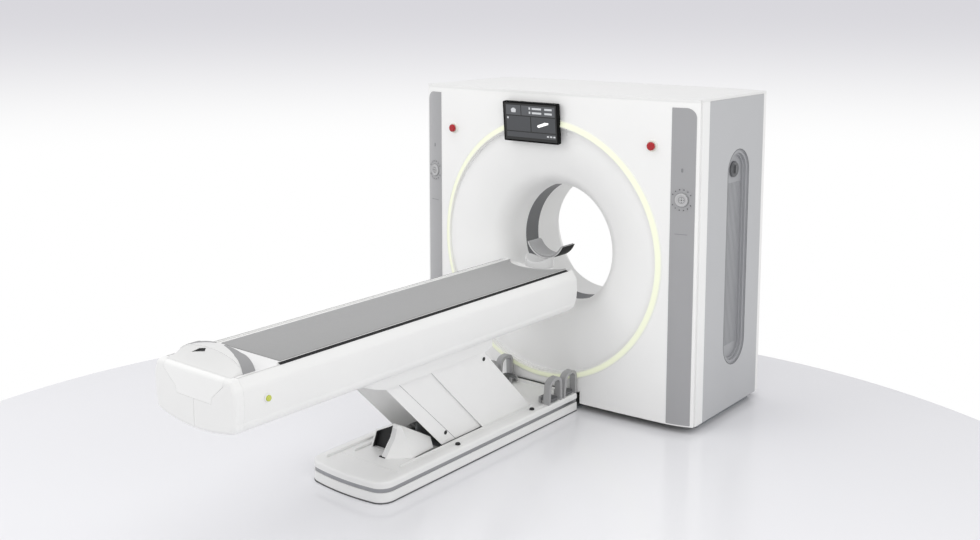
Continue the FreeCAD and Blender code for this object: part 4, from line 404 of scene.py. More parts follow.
def lofted(rings, joined=False):
    """A closed shape through rings of points. Joined rings meet again; others get a face at each end."""
    count = len(rings[0])
    points = [point for ring in rings for point in ring]
    faces = []
    for i in range(len(rings) if joined else len(rings) - 1):
        a, b = i * count, (i + 1) % len(rings) * count
        faces += [[a + k, a + (k + 1) % count, b + (k + 1) % count, b + k] for k in range(count)]
    if not joined:
        faces += [list(range(count)), list(range(len(points) - 1, len(points) - count - 1, -1))]
    return points, faces


def arc(across, up, radius, start, end, steps):
    """Points of a round stretch with both its ends; angles in degrees."""
    turns = [math.radians(start + (end - start) * i / steps) for i in range(steps + 1)]
    return [(across + radius * math.cos(turn), up + radius * math.sin(turn)) for turn in turns]


def disc(across, up, radius, steps=28):
    """Round outline."""
    return arc(across, up, radius, 0, 360, steps)[:-1]


def rounded(x0, x1, z0, z1, radius=0.0):
    """Rectangle outline with round corners."""
    if radius <= 0:
        return [(x0, z0), (x1, z0), (x1, z1), (x0, z1)]
    left, right, low, high = x0 + radius, x1 - radius, z0 + radius, z1 - radius
    corners = ((right, low, -90), (right, high, 0), (left, high, 90), (left, low, 180))
    return [point for x, z, start in corners for point in arc(x, z, radius, start, start + 90, 5)]


def in_mm(*pairs):
    """Outline points given in millimetres."""
    return [(a * MM, b * MM) for a, b in pairs]


def slab(outline, front, back):
    """A flat plate from an (x, z) outline, from y = front to y = back."""
    return lofted([[(x, y, z) for x, z in outline] for y in (front, back)])


def lying(outline, low, high):
    """A flat plate from an (x, y) outline, from z = low to z = high."""
    return lofted([[(x, y, z) for x, y in outline] for z in (low, high)])


def upright(outline, x_low, x_high):
    """A flat plate from a (y, z) outline, from x_low to x_high."""
    return lofted([[(x, y, z) for y, z in outline] for x in (x_low, x_high)])


def drum(x_low, x_high, y, z, radius):
    """A round plug whose axis runs along X."""
    return upright(disc(y, z, radius, plug_steps), x_low, x_high)


def bar(start, end, x_low, x_high, width):
    """A straight strip between two (y, z) points, seen on a face that looks along X."""
    start, end = Vector(start), Vector(end)
    along = (end - start).normalized()
    aside = Vector((-along.y, along.x)) * width / 2
    return upright([start - aside, end - aside, end + aside, start + aside], x_low, x_high)


def revolved(section, at, steps=192):
    """Closed ring shape: (radius, depth) pairs carried round; at(radius, depth, turn) gives each point."""
    turns = [2 * math.pi * i / steps for i in range(steps)]
    return lofted([[at(radius, depth, turn) for radius, depth in section] for turn in turns], joined=True)


def flat_ring(outer, inner, front, back):
    """A flat ring about its own Y axis."""
    return revolved([(outer, front), (outer, back), (inner, back), (inner, front)],
                    lambda radius, y, turn: (radius * math.cos(turn), y, radius * math.sin(turn)), 48)


def cover_at(x):
    """Where the front cover's face stands at x, and how far it turns there."""
    if abs(x) <= bend_start:
        return sweep_radius - cover_crown - math.sqrt(sweep_radius ** 2 - x * x), math.asin(x / sweep_radius)
    reach = abs(x) - bend_x
    y = bend_drop - cover_crown - math.sqrt(bend_radius ** 2 - reach ** 2)
    return y, math.copysign(math.asin(reach / bend_radius), x)


def cover_place(x, z, proud):
    """Frame on the front cover at x and z: its own -Y looks out of the cover."""
    y, turn = cover_at(x)
    spot = Matrix.Translation((x + proud * math.sin(turn), y - proud * math.cos(turn), z))
    return spot @ Matrix.Rotation(turn, 4, "Z")


# ------------ patterns by geometry nodes


def pattern_tree(name, whole, sizes):
    """An empty geometry tree with whole-number and length inputs, and the sockets that give them."""
    tree = bpy.data.node_groups.new(name, "GeometryNodeTree")
    tree.interface.new_socket("Geometry", in_out="OUTPUT", socket_type="NodeSocketGeometry")
    for label in whole:
        tree.interface.new_socket(label, in_out="INPUT", socket_type="NodeSocketInt")
    for label in sizes:
        tree.interface.new_socket(label, in_out="INPUT", socket_type="NodeSocketFloat")
    return tree, add(tree, "NodeGroupInput").outputs


def close_tree(tree, finish, **inputs):
    """Instances spread over points, made real and given their finish."""
    spread = add(tree, "GeometryNodeInstanceOnPoints", inputs)
    real = add(tree, "GeometryNodeRealizeInstances", {"Geometry": spread.outputs["Instances"]})
    painted = add(tree, "GeometryNodeSetMaterial",
                  {"Geometry": real.outputs["Geometry"], "Material": finish})
    add(tree, "NodeGroupOutput", {"Geometry": painted.outputs["Geometry"]})
    return tree


def head_arc(name, finish, sides=10):
    """Tree for round heads along an arc: printed dots and fixing caps."""
    tree, given = pattern_tree(name, ["Count"],
                               ["Arc radius", "Start", "Sweep", "Head radius", "Head depth"])
    arc_line = add(tree, "GeometryNodeCurveArc",
                   {"Resolution": given["Count"], "Radius": given["Arc radius"],
                    "Start Angle": given["Start"], "Sweep Angle": given["Sweep"]})
    spots = add(tree, "GeometryNodeCurveToPoints", {"Curve": arc_line.outputs["Curve"]}, mode="EVALUATED")
    crown = add(tree, "ShaderNodeMath", {0: given["Head radius"], 1: 0.82}, operation="MULTIPLY")
    head = add(tree, "GeometryNodeMeshCone",
               {"Vertices": sides, "Radius Bottom": given["Head radius"], "Radius Top": crown.outputs[0],
                "Depth": given["Head depth"]})
    return close_tree(tree, finish, Points=spots.outputs["Points"], Instance=head.outputs["Mesh"])


def bar_ring(name, finish):
    """Tree for small bars set round a circle, each one pointing at its middle."""
    tree, given = pattern_tree(name, ["Count"], ["Circle radius", "Bar length", "Bar width", "Bar depth"])
    circle = add(tree, "GeometryNodeMeshCircle",
                 {"Vertices": given["Count"], "Radius": given["Circle radius"]})
    index = add(tree, "GeometryNodeInputIndex")
    step = add(tree, "ShaderNodeMath", {0: 2 * math.pi, 1: given["Count"]}, operation="DIVIDE")
    turn = add(tree, "ShaderNodeMath", {0: index.outputs[0], 1: step.outputs[0]}, operation="MULTIPLY")
    rotation = add(tree, "ShaderNodeCombineXYZ", {"Z": turn.outputs[0]})
    size = add(tree, "ShaderNodeCombineXYZ",
               {"X": given["Bar length"], "Y": given["Bar width"], "Z": given["Bar depth"]})
    block = add(tree, "GeometryNodeMeshCube", {"Size": size.outputs[0]})
    return close_tree(tree, finish, Points=circle.outputs["Mesh"], Instance=block.outputs["Mesh"],
                      Rotation=rotation.outputs[0])


def bar_row(name, finish):
    """Tree for equal bars side by side along X, such as slats."""
    tree, given = pattern_tree(name, ["Count"], ["Pitch", "Bar length", "Bar width", "Bar depth"])
    offset = add(tree, "ShaderNodeCombineXYZ", {"X": given["Pitch"]})
    line = add(tree, "GeometryNodeMeshLine", {"Count": given["Count"], "Offset": offset.outputs[0]})
    size = add(tree, "ShaderNodeCombineXYZ",
               {"X": given["Bar width"], "Y": given["Bar length"], "Z": given["Bar depth"]})
    block = add(tree, "GeometryNodeMeshCube", {"Size": size.outputs[0]})
    return close_tree(tree, finish, Points=line.outputs["Mesh"], Instance=block.outputs["Mesh"])


def grown(name, tree, values, places):
    """Plain mesh of a tree's pattern, repeated at each place."""
    seed = bpy.data.objects.new(name, bpy.data.meshes.new(name))
    bpy.context.scene.collection.objects.link(seed)
    modifier = seed.modifiers.new("pattern", "NODES")
    modifier.node_group = tree
    for item in tree.interface.items_tree:
        if item.in_out == "INPUT":
            modifier[item.identifier] = values[item.name]
    evaluated = seed.evaluated_get(bpy.context.evaluated_depsgraph_get())
    pattern = bpy.data.meshes.new_from_object(evaluated)
    seed.modifiers.remove(modifier)
    bpy.data.objects.remove(seed)
    body = bmesh.new()
    for where in places:
        copy = pattern.copy()
        copy.transform(where)
        body.from_mesh(copy)
    mesh = bpy.data.meshes.new(name)
    body.to_mesh(mesh)
    body.free()
    for finish in pattern.materials:
        mesh.materials.append(finish)
    return mesh


# ------------ display

glass_half_tall = (glass_box[1].z - glass_box[0].z) - glass_thick * math.sin(display_tilt)
glass_half_tall /= 2 * math.cos(display_tilt)
glass_half_wide = (glass_box[1].x - glass_box[0].x) / 2
glass_middle = Vector((
    (glass_box[0].x + glass_box[1].x) / 2,
    glass_box[0].y + glass_half_tall * math.sin(display_tilt),
    glass_box[1].z - glass_half_tall * math.cos(display_tilt) - glass_thick * math.sin(display_tilt),
))
on_glass = Matrix.Translation(glass_middle) @ Matrix.Rotation(display_tilt, 4, "X")
skin = 0.3 * MM


def lit_area(x0, x1, z0, z1, layer=1, radius=0.0):
    """A lit area on the glass, in parts of its half width and half height, -1 to 1."""
    w, h = glass_half_wide, glass_half_tall
    return slab(rounded(x0 * w, x1 * w, z0 * h, z1 * h, radius), -skin * layer, 0.0)


def lit_icon(*points):
    """A lit picture on the glass, in parts of its half width and half height."""
    return slab([(x * glass_half_wide, z * glass_half_tall) for x, z in points], -2 * skin, 0)


def lit_piece(name, shapes, finish):
    """Lit areas that share one finish."""
    shaped(name, shapes, GANTRY, finish, on_glass)


lit_piece("display_upper_panes", [lit_area(-0.93, -0.36, 0.36, 0.90), lit_area(-0.33, 0.95, 0.36, 0.90)],
          PANE)
lit_piece("display_lower_panes", [lit_area(-0.93, 0.0, -0.50, 0.30), lit_area(0.04, 0.95, -0.50, 0.30),
                                  lit_area(-0.93, 0.95, -0.84, -0.56)], PANE_DARK)
rows = []
for row in (0.70, 0.47):
    rows += [lit_area(left, right, row, row + tall, 2, 1 * MM)
             for left, right, tall in ((0.08, 0.44, 0.10), (0.56, 0.84, 0.10), (-0.04, 0.02, 0.12))]
rows += [lit_area(start, start + 0.08, -0.74, -0.66, 2, 0.8 * MM) for start in (0.62, 0.74, 0.86)]
rows.append(lit_area(-0.90, -0.84, 0.14, 0.24, 2, 0.8 * MM))
lit_piece("display_rows", rows, WORDS)
lit_piece("display_scan_icon", [lit_icon((-0.72, 0.50), (-0.56, 0.50), (-0.54, 0.66), (-0.61, 0.74),
                                         (-0.67, 0.74), (-0.74, 0.66))], WORDS)
lit_piece("display_table_icon", [lit_icon((0.26, -0.20), (0.32, -0.25), (0.47, -0.17), (0.68, -0.05),
                                          (0.70, 0.03), (0.56, 0.05), (0.42, -0.04), (0.28, -0.12))], PICTURE)

# small printed signs on the cover, right of the display
signs = [slab(rounded(x0 * MM, x1 * MM, z0 * MM, z1 * MM, 2 * MM), -skin, 0.5 * MM)
         for x0, x1, z0, z1 in ((-4, 4, 12, 20), (-9, -1, 26, 34), (1, 7, -22, 2))]
shaped("cover_signs", signs, GANTRY, PRINT_PALE, cover_place(0.155, 1.628, 0.1 * MM))

# ------------ control strips

dial_x = (dial_box[0].x + dial_box[1].x) / 2
dial_z = (dial_box[0].z + dial_box[1].z) / 2
dial_proud = 7.1 * MM
strip_proud = 2.0 * MM
DOTS = head_arc("dots", PRINT)
MARKS = bar_ring("marks", PRINT)
dot_sizes = {"Count": 6, "Arc radius": 57 * MM, "Start": math.radians(30), "Sweep": math.radians(120),
             "Head radius": 3.6 * MM, "Head depth": 0.8 * MM}
arrow_sizes = {"Count": 4, "Circle radius": 12 * MM, "Bar length": 4 * MM, "Bar width": 4 * MM,
               "Bar depth": 0.6 * MM}
lain_flat = Matrix.Rotation(math.radians(90), 4, "X")  # turns a pattern's own XY plane onto the cover
half_turn = Matrix.Rotation(math.radians(180), 4, "Z")
dial_print = [flat_ring(36 * MM, 34 * MM, -skin, 0.5 * MM), flat_ring(18 * MM, 16.4 * MM, -skin, 0.5 * MM),
              slab(disc(0, 0, 4 * MM), -skin, 0.5 * MM)]
strip_print = [flat_ring(40.5 * MM, 37.6 * MM, -0.4 * MM, 0.4 * MM),
               slab(rounded(-6 * MM, 6 * MM, 150 * MM, 172 * MM, 4 * MM), -skin, 0.4 * MM),
               slab(rounded(-36 * MM, 36 * MM, -190 * MM, -187 * MM), -skin, 0.4 * MM)]

for side, sign in (("right", 1), ("left", -1)):
    at_dial = cover_place(sign * dial_x, dial_z, dial_proud)
    at_strip = cover_place(sign * dial_x, dial_z, strip_proud)
    shaped(f"dial_print_{side}", dial_print, f"dial_{side}", PRINT, at_dial)
    arrows = grown(f"dial_arrows_{side}", MARKS, arrow_sizes, [at_dial @ lain_flat])
    piece(f"dial_arrows_{side}", arrows, f"dial_{side}")
    dots = grown(f"strip_dots_{side}", DOTS, dot_sizes,
                 [at_strip @ lain_flat, at_strip @ lain_flat @ half_turn])
    piece(f"strip_dots_{side}", dots, GANTRY)
    shaped(f"strip_print_{side}", strip_print, GANTRY, FAINT_PRINT, at_strip)

# ------------ padded mattress


def pad(outline, low, high, edge):
    """A thin pad over an (x, y) outline that runs anticlockwise: its sides belly out to the outline."""
    steps = 8
    rings = []
    for step in range(steps + 1):
        turn = math.radians(-90 + 180 * step / steps)
        inset = edge * (1 - math.cos(turn))
        z = (low + high) / 2 + (high - low) / 2 * math.sin(turn)
        ring = []
        for i, (x, y) in enumerate(outline):
            along = (Vector(outline[(i + 1) % len(outline)]) - Vector(outline[i - 1])).normalized()
            ring.append((x - along.y * inset, y + along.x * inset, z))
        rings.append(ring)
    return lofted(rings)


# the head end is scooped out in one wide arc
half = mattress_box[1].x - 0.4 * MM
foot_y, head_y = mattress_box[0].y + 0.4 * MM, mattress_box[1].y
scoop_depth = 118 * MM
scoop_radius = (half ** 2 + scoop_depth ** 2) / (2 * scoop_depth)
scoop_span = math.degrees(math.asin(half / scoop_radius))
scoop = arc(0, head_y - scoop_depth + scoop_radius, scoop_radius, scoop_span - 90, -scoop_span - 90, 24)
corner = 6 * MM
mattress_outline = [(half, foot_y + corner), (half, head_y - 3 * MM)] + scoop[1:-1]
mattress_outline += [(-half, head_y - 3 * MM), (-half, foot_y + corner), (-half + corner, foot_y),
                     (half - corner, foot_y)]
mattress_shape = pad(mattress_outline, mattress_box[0].z + 0.2 * MM, mattress_box[1].z + 1.0 * MM, 3 * MM)
mattress = shaped("mattress_pad", [mattress_shape], TABLETOP, MATTRESS)
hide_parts("mattress")

# ------------ light ring

lens_section = [(ring_outer, 0.0), (ring_outer - 2 * MM, -2.4 * MM), (ring_inner + 8 * MM, -11 * MM),
                (ring_inner + 4 * MM, -12 * MM), (ring_inner + 1 * MM, -10 * MM), (ring_inner, -6 * MM),
                (ring_inner, 12 * MM), (ring_outer, 12 * MM)]


def on_ring(radius, depth, turn):
    """A point of the light guide: it follows the front cover's bend all the way round."""
    x = radius * math.cos(turn)
    return x, cover_at(x)[0] + depth, axis_height + radius * math.sin(turn)


lens = shaped("ring_light_guide", [revolved(lens_section, on_ring)], GANTRY, RING)
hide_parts("light_ring")

# ------------ laser aperture in the bore

window_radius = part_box("scan_window")[1].x
aperture_y, aperture_z = -3 * MM, 966 * MM
collars = [drum(sign * (window_radius - 1.6 * MM), sign * (window_radius + 1 * MM), aperture_y, aperture_z,
                8 * MM) for sign in SIDES]
lenses = [drum(sign * (window_radius - 2.2 * MM), sign * window_radius, aperture_y, aperture_z, 4.5 * MM)
          for sign in SIDES]
shaped("laser_collars", collars, GANTRY, BLACK_AND_SHADE)
shaped("laser_lenses", lenses, GANTRY, LASER)

# ------------ head cup

cup_radius, cup_wall = 130 * MM, 7 * MM
cup_outside = cup_radius + cup_wall
cup_axis = 1003 * MM
cup_front, cup_back = -365 * MM, -235 * MM


def swell(value):
    """Squares off a sine or cosine, for a section with flat sides and round corners."""
    return math.copysign(abs(value) ** 0.3, value)


def trough(radius, edge, middle, first, last, front, back):
    """A curved wall or pad of the head cup between two angles: edge and middle are its thicknesses."""
    arcs, around, lip = 44, 20, 2.5
    rings = []
    for i in range(arcs + 1):
        share = i / arcs
        angle = math.radians(first + (last - first) * share)
        nearness = min(min(share, 1 - share) * arcs / lip, 1)
        close = math.sqrt(max(0.0, 1 - (1 - nearness) ** 2))
        thick = (edge + (middle - edge) * math.sin(math.pi * share)) * max(close, 0.12)
        reach = (back - front) / 2 - 3 * MM * (1 - close)
        ring = []
        for k in range(around):
            turn = 2 * math.pi * k / around
            y = (front + back) / 2 + reach * swell(math.cos(turn))
            from_axis = radius - thick / 2 + thick / 2 * swell(math.sin(turn))
            ring.append((from_axis * math.cos(angle), y, cup_axis + from_axis * math.sin(angle)))
        rings.append(ring)
    return lofted(rings)


def cup_block(y, wide, deep, foot):
    """The block under the head cup: an oval drum whose top is hollowed to carry the trough."""
    rim = in_mm((0, 8), (1.5, 3), (5, 0.8), (12, 0), (26, 0), (44, 0), (60, 0))  # inset and drop
    turns = [2 * math.pi * i / 56 for i in range(56)]
    rings = [[(wide * math.cos(turn), y + deep * math.sin(turn), foot) for turn in turns]]
    for inset, drop in rim:
        ring = []
        for turn in turns:
            x = (wide - inset) * math.cos(turn)
            z = cup_axis - math.sqrt(cup_outside ** 2 - x * x) - drop
            ring.append((x, y + (deep - inset) * math.sin(turn), z))
        rings.append(ring)
    return lofted(rings)


cup_wall_shape = trough(cup_outside, cup_wall, cup_wall, -22, -158, cup_front, cup_back)
cup_foot_shape = cup_block(-414 * MM, 88 * MM, 74 * MM, 833.5 * MM)
cup = shaped("head_cup_moulding", [cup_wall_shape, cup_foot_shape], TABLETOP, CUP)
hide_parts("head_cup")
# dark bands on the head cup's outer sides below each lip: painted shade under the wings
cup_shade_bands = [trough(cup_outside + 1.5 * MM, 1.8 * MM, 1.8 * MM, start, end, cup_front + 3 * MM, cup_back - 1 * MM)
         for start, end in ((-23, -62), (-157, -118))]
shaped("head_cup_shade_bands", cup_shade_bands, TABLETOP, SEAL_AND_SHADE)
liner_shape = trough(cup_radius - 0.3 * MM, 8 * MM, 11 * MM, -22.5, -157.5, cup_front + 4 * MM,
                     cup_back - 4 * MM)
liner = shaped("head_cup_liner", [liner_shape], TABLETOP, CUP_PAD)
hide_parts("head_cup_pad")

# ------------ rubber beside the tabletop

seals, ridges = [], []
for sign in SIDES:
    ridge = in_mm((221.6, 845.3), (243, 845.3), (243, 845.9), (225.4, 851.9), (223, 852.6), (221.6, 851))
    rubber = in_mm((243.4, 845.3), (243.4, 846.3), (225.5, 852.2), (225.5, 851.2), (242.6, 845.5))
    ridges.append(slab([(sign * x, z) for x, z in ridge], -2604 * MM, -469 * MM))
    seals.append(slab([(sign * x, z) for x, z in rubber], -2603 * MM, -470 * MM))
shaped("tabletop_ridges", ridges, TABLE, CRADLE)
shaped("tabletop_seals", seals, TABLE, SEAL_AND_SHADE)

# ------------ lift arm covers

foot_face, gantry_face = 147 * MM, 157 * MM


def screw_cap(face, sign, y, z):
    """A screw cap on an arm cover's outer face."""
    return drum(sign * (face - 1 * MM), sign * (face + 1.6 * MM), y, z, 11 * MM)


arm_joints = [bar((-1779 * MM, 514 * MM), (-1352 * MM, 105 * MM), sign * (foot_face - 1 * MM),
                  sign * (foot_face + 0.35 * MM), 2.4 * MM) for sign in SIDES]
shaped("foot_arm_joints", arm_joints, FOOT_ARM, JOINT)
shaped("foot_arm_screw_caps", [screw_cap(foot_face, sign, -1431 * MM, 162 * MM) for sign in SIDES], FOOT_ARM,
       BLACK_AND_SHADE)
shaped("gantry_arm_screw_caps", [screw_cap(gantry_face, sign, -1129 * MM, 479 * MM) for sign in SIDES],
       GANTRY_ARM, BLACK_AND_SHADE)

# ------------ rear cover

SLATS = bar_row("slats", BLACK_AND_SHADE)
HEADS = head_arc("heads", BRACKET, plug_steps)


def behind(x, z):
    """Frame on the rear cover at x and z: the pattern's own XY plane lies on the cover."""
    well_behind = 2.0
    hit, spot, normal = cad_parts["rear_cover"].ray_cast((x, well_behind, z), (0, -1, 0))[:3]
    if not hit:
        raise RuntimeError(f"no rear cover at {x}, {z}")
    across = Vector((-1, 0, 0))
    across = (across - normal * across.dot(normal)).normalized()
    upward = normal.cross(across)
    return Matrix.Translation(spot) @ Matrix((across, upward, normal)).transposed().to_4x4()


vent_pitch, vent_count = 14 * MM, 16
vent_start = Matrix.Translation((-vent_pitch * (vent_count - 1) / 2, 0, 0))
vent_sizes = {"Count": vent_count, "Pitch": vent_pitch, "Bar length": 120 * MM, "Bar width": 6 * MM,
              "Bar depth": 2.4 * MM}
vents = grown("rear_vents", SLATS, vent_sizes,
              [behind(x, z) @ vent_start for x in (-0.68, 0.68) for z in (0.26, 1.6)])
piece("rear_vents", vents, GANTRY)
cap_sizes = {"Count": 1, "Arc radius": 0.0, "Start": 0.0, "Sweep": 0.0, "Head radius": 9 * MM,
             "Head depth": 3 * MM}
cap_heights = (0.15, 0.65, 1.2, 1.72)
rear_caps = grown("rear_fixing_caps", HEADS, cap_sizes,
                  [behind(x, z) for x in (-0.9, 0.9) for z in cap_heights])
piece("rear_fixing_caps", rear_caps, GANTRY)

# ------------ pull hoop

hoop_box, grip_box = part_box("pull_hoop"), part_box("hoop_grips")
hoop_half, hoop_rise = hoop_box[1].x, hoop_box[1].z - hoop_box[0].z
hoop_face, hoop_foot = hoop_box[0].y, hoop_box[0].z


def hoop_apron():
    """A smooth apron that runs from the hoop's front face down to the end cap."""
    columns, steps, reach = 49, 9, 59.7 * MM
    back = hoop_face - 0.3 * MM
    rings = []
    for i in range(columns):
        turn = math.pi * i / (columns - 1)
        x = (hoop_half - 1.5 * MM) * math.cos(turn)
        height = max(0.8 * MM, (hoop_rise - 1.5 * MM) * math.sin(turn))
        ring = []
        for k in range(steps):
            share = k / (steps - 1)
            ring.append((x, back - reach * share, hoop_foot + 0.9 * MM + height * (1 - share) ** 1.35))
        rings.append(ring + [(x, back - reach, hoop_foot + 0.3 * MM), (x, back, hoop_foot + 0.3 * MM)])
    return lofted(rings)


def hollowed(mesh, tool):
    """The mesh less the tool's volume."""
    kept = bpy.data.objects.new("kept", mesh)
    taken = bpy.data.objects.new("taken", tool)
    for thing in (kept, taken):
        bpy.context.scene.collection.objects.link(thing)
    cutter = kept.modifiers.new("hollow", "BOOLEAN")
    cutter.object = taken
    cutter.solver = "EXACT"
    result = bpy.data.meshes.new_from_object(kept.evaluated_get(bpy.context.evaluated_depsgraph_get()))
    for thing in (kept, taken):
        bpy.data.objects.remove(thing)
    return result


def above_foot(*pairs):
    """Outline across the hoop, in millimetres from its middle and above its foot."""
    return [(x, hoop_foot + z) for x, z in in_mm(*pairs)]


hand_hole = slab(above_foot((-94, 41), (-12, 56), (-14, 70), (-55, 62)), hoop_face - 115 * MM,
                 hoop_face + 15 * MM)
apron = hollowed(closed_mesh("hoop_apron", [hoop_apron()]), closed_mesh("hand_hole", [hand_hole]))
piece("hoop_apron", apron, TABLETOP, HOOP)
# a dark plate just behind the hand hole: painted shade in the opening
hand_hole_shade = slab(above_foot((-98, 36), (-8, 36), (-8, 68), (-60, 66)), hoop_face - 0.28 * MM,
                  hoop_face + 1 * MM)
shaped("hoop_hand_hole", [hand_hole_shade], TABLETOP, BLACK_AND_SHADE)


def hoop_crown():
    """A rim over the front of the hoop: widest at the crown, so the grips taper towards it."""
    half, rise, columns = grip_box[1].x + 0.6 * MM, grip_box[1].z - hoop_foot + 0.6 * MM, 41
    start, sweep, taper = 25, 130, 62  # degrees: where it starts, how far it runs, its taper each side
    ends, crown = 3 * MM, 58 * MM  # how far over the grips it reaches, and how much more at the crown
    rings = []
    for i in range(columns):
        turn = math.radians(start + sweep * i / (columns - 1))
        share = max(0.0, 1 - abs(turn - math.pi / 2) / math.radians(taper))
        front, back = hoop_face - 0.2 * MM, grip_box[0].y + ends + crown * share
        rings.append([((half - lower) * math.cos(turn), y, hoop_foot + (rise - lower) * math.sin(turn))
                      for y, lower in ((front, 0), (back, 0), (back, 4 * MM), (front, 4 * MM))])
    return lofted(rings)


shaped("hoop_crown", [hoop_crown()], TABLETOP, HOOP)

# ------------ side recess edging

pan_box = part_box("side_recess_pans")
side_face = cad_box[1].x


def stadium(grow):
    """Outline of a side recess in (y, z), made larger by that much."""
    middle, half_wide = (pan_box[0].y + pan_box[1].y) / 2, (pan_box[1].y - pan_box[0].y) / 2
    low, high = pan_box[0].z + half_wide, pan_box[1].z - half_wide
    return (arc(middle, high, half_wide + grow, 0, 180, 24)
            + arc(middle, low, half_wide + grow, 180, 360, 24))


# a dark band round each side recess: painted shade at its edge
edge_section = in_mm((1.2, -2), (-2.2, -2), (-2.2, 0.6), (1.2, 0.6))  # beyond the recess, proud of the side
bands = [lofted([[(sign * (side_face + proud), y, z) for y, z in stadium(grow)]
                 for grow, proud in edge_section], joined=True) for sign in SIDES]
shaped("side_recess_edging", bands, GANTRY, EDGE_SHADE)

# ------------ base

# a low lip and a taller one along each side of the deck's slot, and the slot's floor
lips = []
for sign in SIDES:
    for outer, high in ((166, 96.4), (160.5, 107.5)):
        outline = in_mm((158.5, 94.5), (outer, 94.5), (outer, high), (158.5, high))
        lips.append(slab([(sign * x, z) for x, z in outline], -1786 * MM, -694 * MM))
slot_floor = slab(rounded(-160 * MM, 160 * MM, 57 * MM, 59 * MM), -1786 * MM, -1408 * MM)
shaped("slot_lips", lips + [slot_floor], GANTRY, DECK)
notch_trim = slab(rounded(-257 * MM, 257 * MM, 107 * MM, 115 * MM), -371 * MM, -362 * MM)
shaped("notch_trim", [notch_trim], GANTRY, COVER)


def deck_cap(x, y):
    """A round cap with a domed top that stands on the deck's rim."""
    profile = in_mm((14, 96), (14, 113), (11, 117), (6, 119))
    return lofted([[(px, py, z) for px, py in disc(x, y, radius, plug_steps)] for radius, z in profile])


deck_caps = [deck_cap(sign * 214 * MM, y) for sign in SIDES for y in (-1412 * MM, -772 * MM)]
shaped("deck_fixing_caps", deck_caps, GANTRY, BLACK_AND_SHADE)


def base_outline(inset):
    """Plan outline of the base: straight sides, round corners and a bowed foot end."""
    half_wide, foot, head = 258 * MM - inset, 2030 * MM - inset, 392 * MM
    bow, corner_radius = 1200 * MM, 80 * MM
    across, centre = half_wide - corner_radius, foot - bow
    corner_y = centre + math.sqrt((bow - corner_radius) ** 2 - across ** 2)
    turn = math.degrees(math.atan2(corner_y - centre, across))
    right = arc(across, corner_y, corner_radius, 0, turn, 10)
    bowed = arc(0, centre, bow, turn, 180 - turn, 24)[1:-1]
    left = [(-x, y) for x, y in reversed(right)]
    return [(x, -y) for x, y in [(half_wide, head)] + right + bowed + left + [(-half_wide, head)]]


# a dark strip round the foot of the base: painted contact shadow
shaped("base_foot_shadow_strip", [lying(base_outline(-0.4 * MM), 0.2 * MM, 5 * MM)], GANTRY,
       EDGE_SHADE)

# ------------ lift shroud


def shroud_wedge():
    """Near half of the lift motor's shroud: a hollow front strip, and a side that spreads to the deck."""
    # height, front edge, half width, where the side bends, half width at the back
    levels = [(96.3, -1757, 132, -1668, 122), (122, -1737, 120, -1668, 114), (150, -1716, 108, -1667, 104),
              (176, -1692, 95, -1664, 92), (205, -1680, 78, -1662, 77), (228, -1673, 62, -1660, 61),
              (244, -1669, 47, -1661, 46)]
    upright_back, slope_from, slope = -1500, 150, 1.68
    rings = []
    for z, front, wide, bend, back_wide in levels:
        back = upright_back - max(0, z - slope_from) * slope
        ring = ((-2, front + 5), (4, front), (34, front), (40, front + 6), (wide, bend), (back_wide, back),
                (-2, back))
        rings.append([(x, y, z * MM) for x, y in in_mm(*ring)])
    return lofted(rings)


hood = slab(in_mm((-138, 96.3), (-104, 194), (0, 244), (0, 236), (-98, 189), (-130, 96.3)), -1688 * MM,
            -1655 * MM)
shroud = shaped("lift_shroud_moulding", [shroud_wedge(), hood], GANTRY, SHROUD)
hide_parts("lift_shroud")
# a greyer strip down the shroud's narrow front: painted shade
channel_line = in_mm((99, -1757.3), (122, -1737.3), (150, -1716.3), (176, -1692.3), (205, -1680.3),
                     (226, -1673.8))
channel = lofted([[(x, front + deep, z) for x, deep in in_mm((5, 0), (33, 0), (33, 2), (5, 2))]
                  for z, front in channel_line])
shaped("lift_shroud_channel", [channel], GANTRY, CHANNEL_SHADE)
# dark sheets behind the shroud's hood, along its inside and at its toe: painted shade in its hollows
back_wall = slab(in_mm((-130, 96.3), (-98, 189), (0, 236), (0, 96.3)), -1662 * MM, -1656 * MM)
toe_slot = slab(in_mm((-12, 96.4), (28, 96.4), (28, 101), (-12, 101)), -1759 * MM, -1750 * MM)
inner_shade_sheet = slab(in_mm((-127, 96.4), (-129.5, 96.4), (-97.5, 188.5), (-2.2, 235), (-2.2, 232), (-95, 186)),
              -1684 * MM, -1662 * MM)
shaped("lift_shroud_painted_shade", [back_wall, inner_shade_sheet, toe_slot], GANTRY, BLACK_AND_SHADE)

# ------------ stage and camera

floor_radius, floor_thick = 3.25, 0.02
floor_place = Matrix.Translation((0.7, -2.0, -0.4 * MM)) @ Matrix.Rotation(math.radians(-90), 4, "X")
floor_mesh = closed_mesh("floor", [slab(disc(0, 0, floor_radius, 160), 0.0, floor_thick)], floor_place)
floor = bpy.data.objects.new("floor", floor_mesh)
bpy.context.scene.collection.objects.link(floor)


def studio_floor():
    """Pale polished floor: soft, slightly uneven reflections of what stands on it."""
    material, tree, shader = start_material("polished_pale_floor", Base_Color=linear("#ECECEF"), IOR=1.5)
    where = add(tree, "ShaderNodeTexCoord").outputs["Object"]
    smear = add(tree, "ShaderNodeTexNoise", {"Vector": where, "Scale": per_metre(700), "Detail": 2})
    polish = add(tree, "ShaderNodeMapRange", {"Value": smear.outputs["Fac"], "To Min": 0.12, "To Max": 0.2})
    tree.links.new(polish.outputs["Result"], shader.inputs["Roughness"])
    return material


floor_mesh.materials.append(studio_floor())


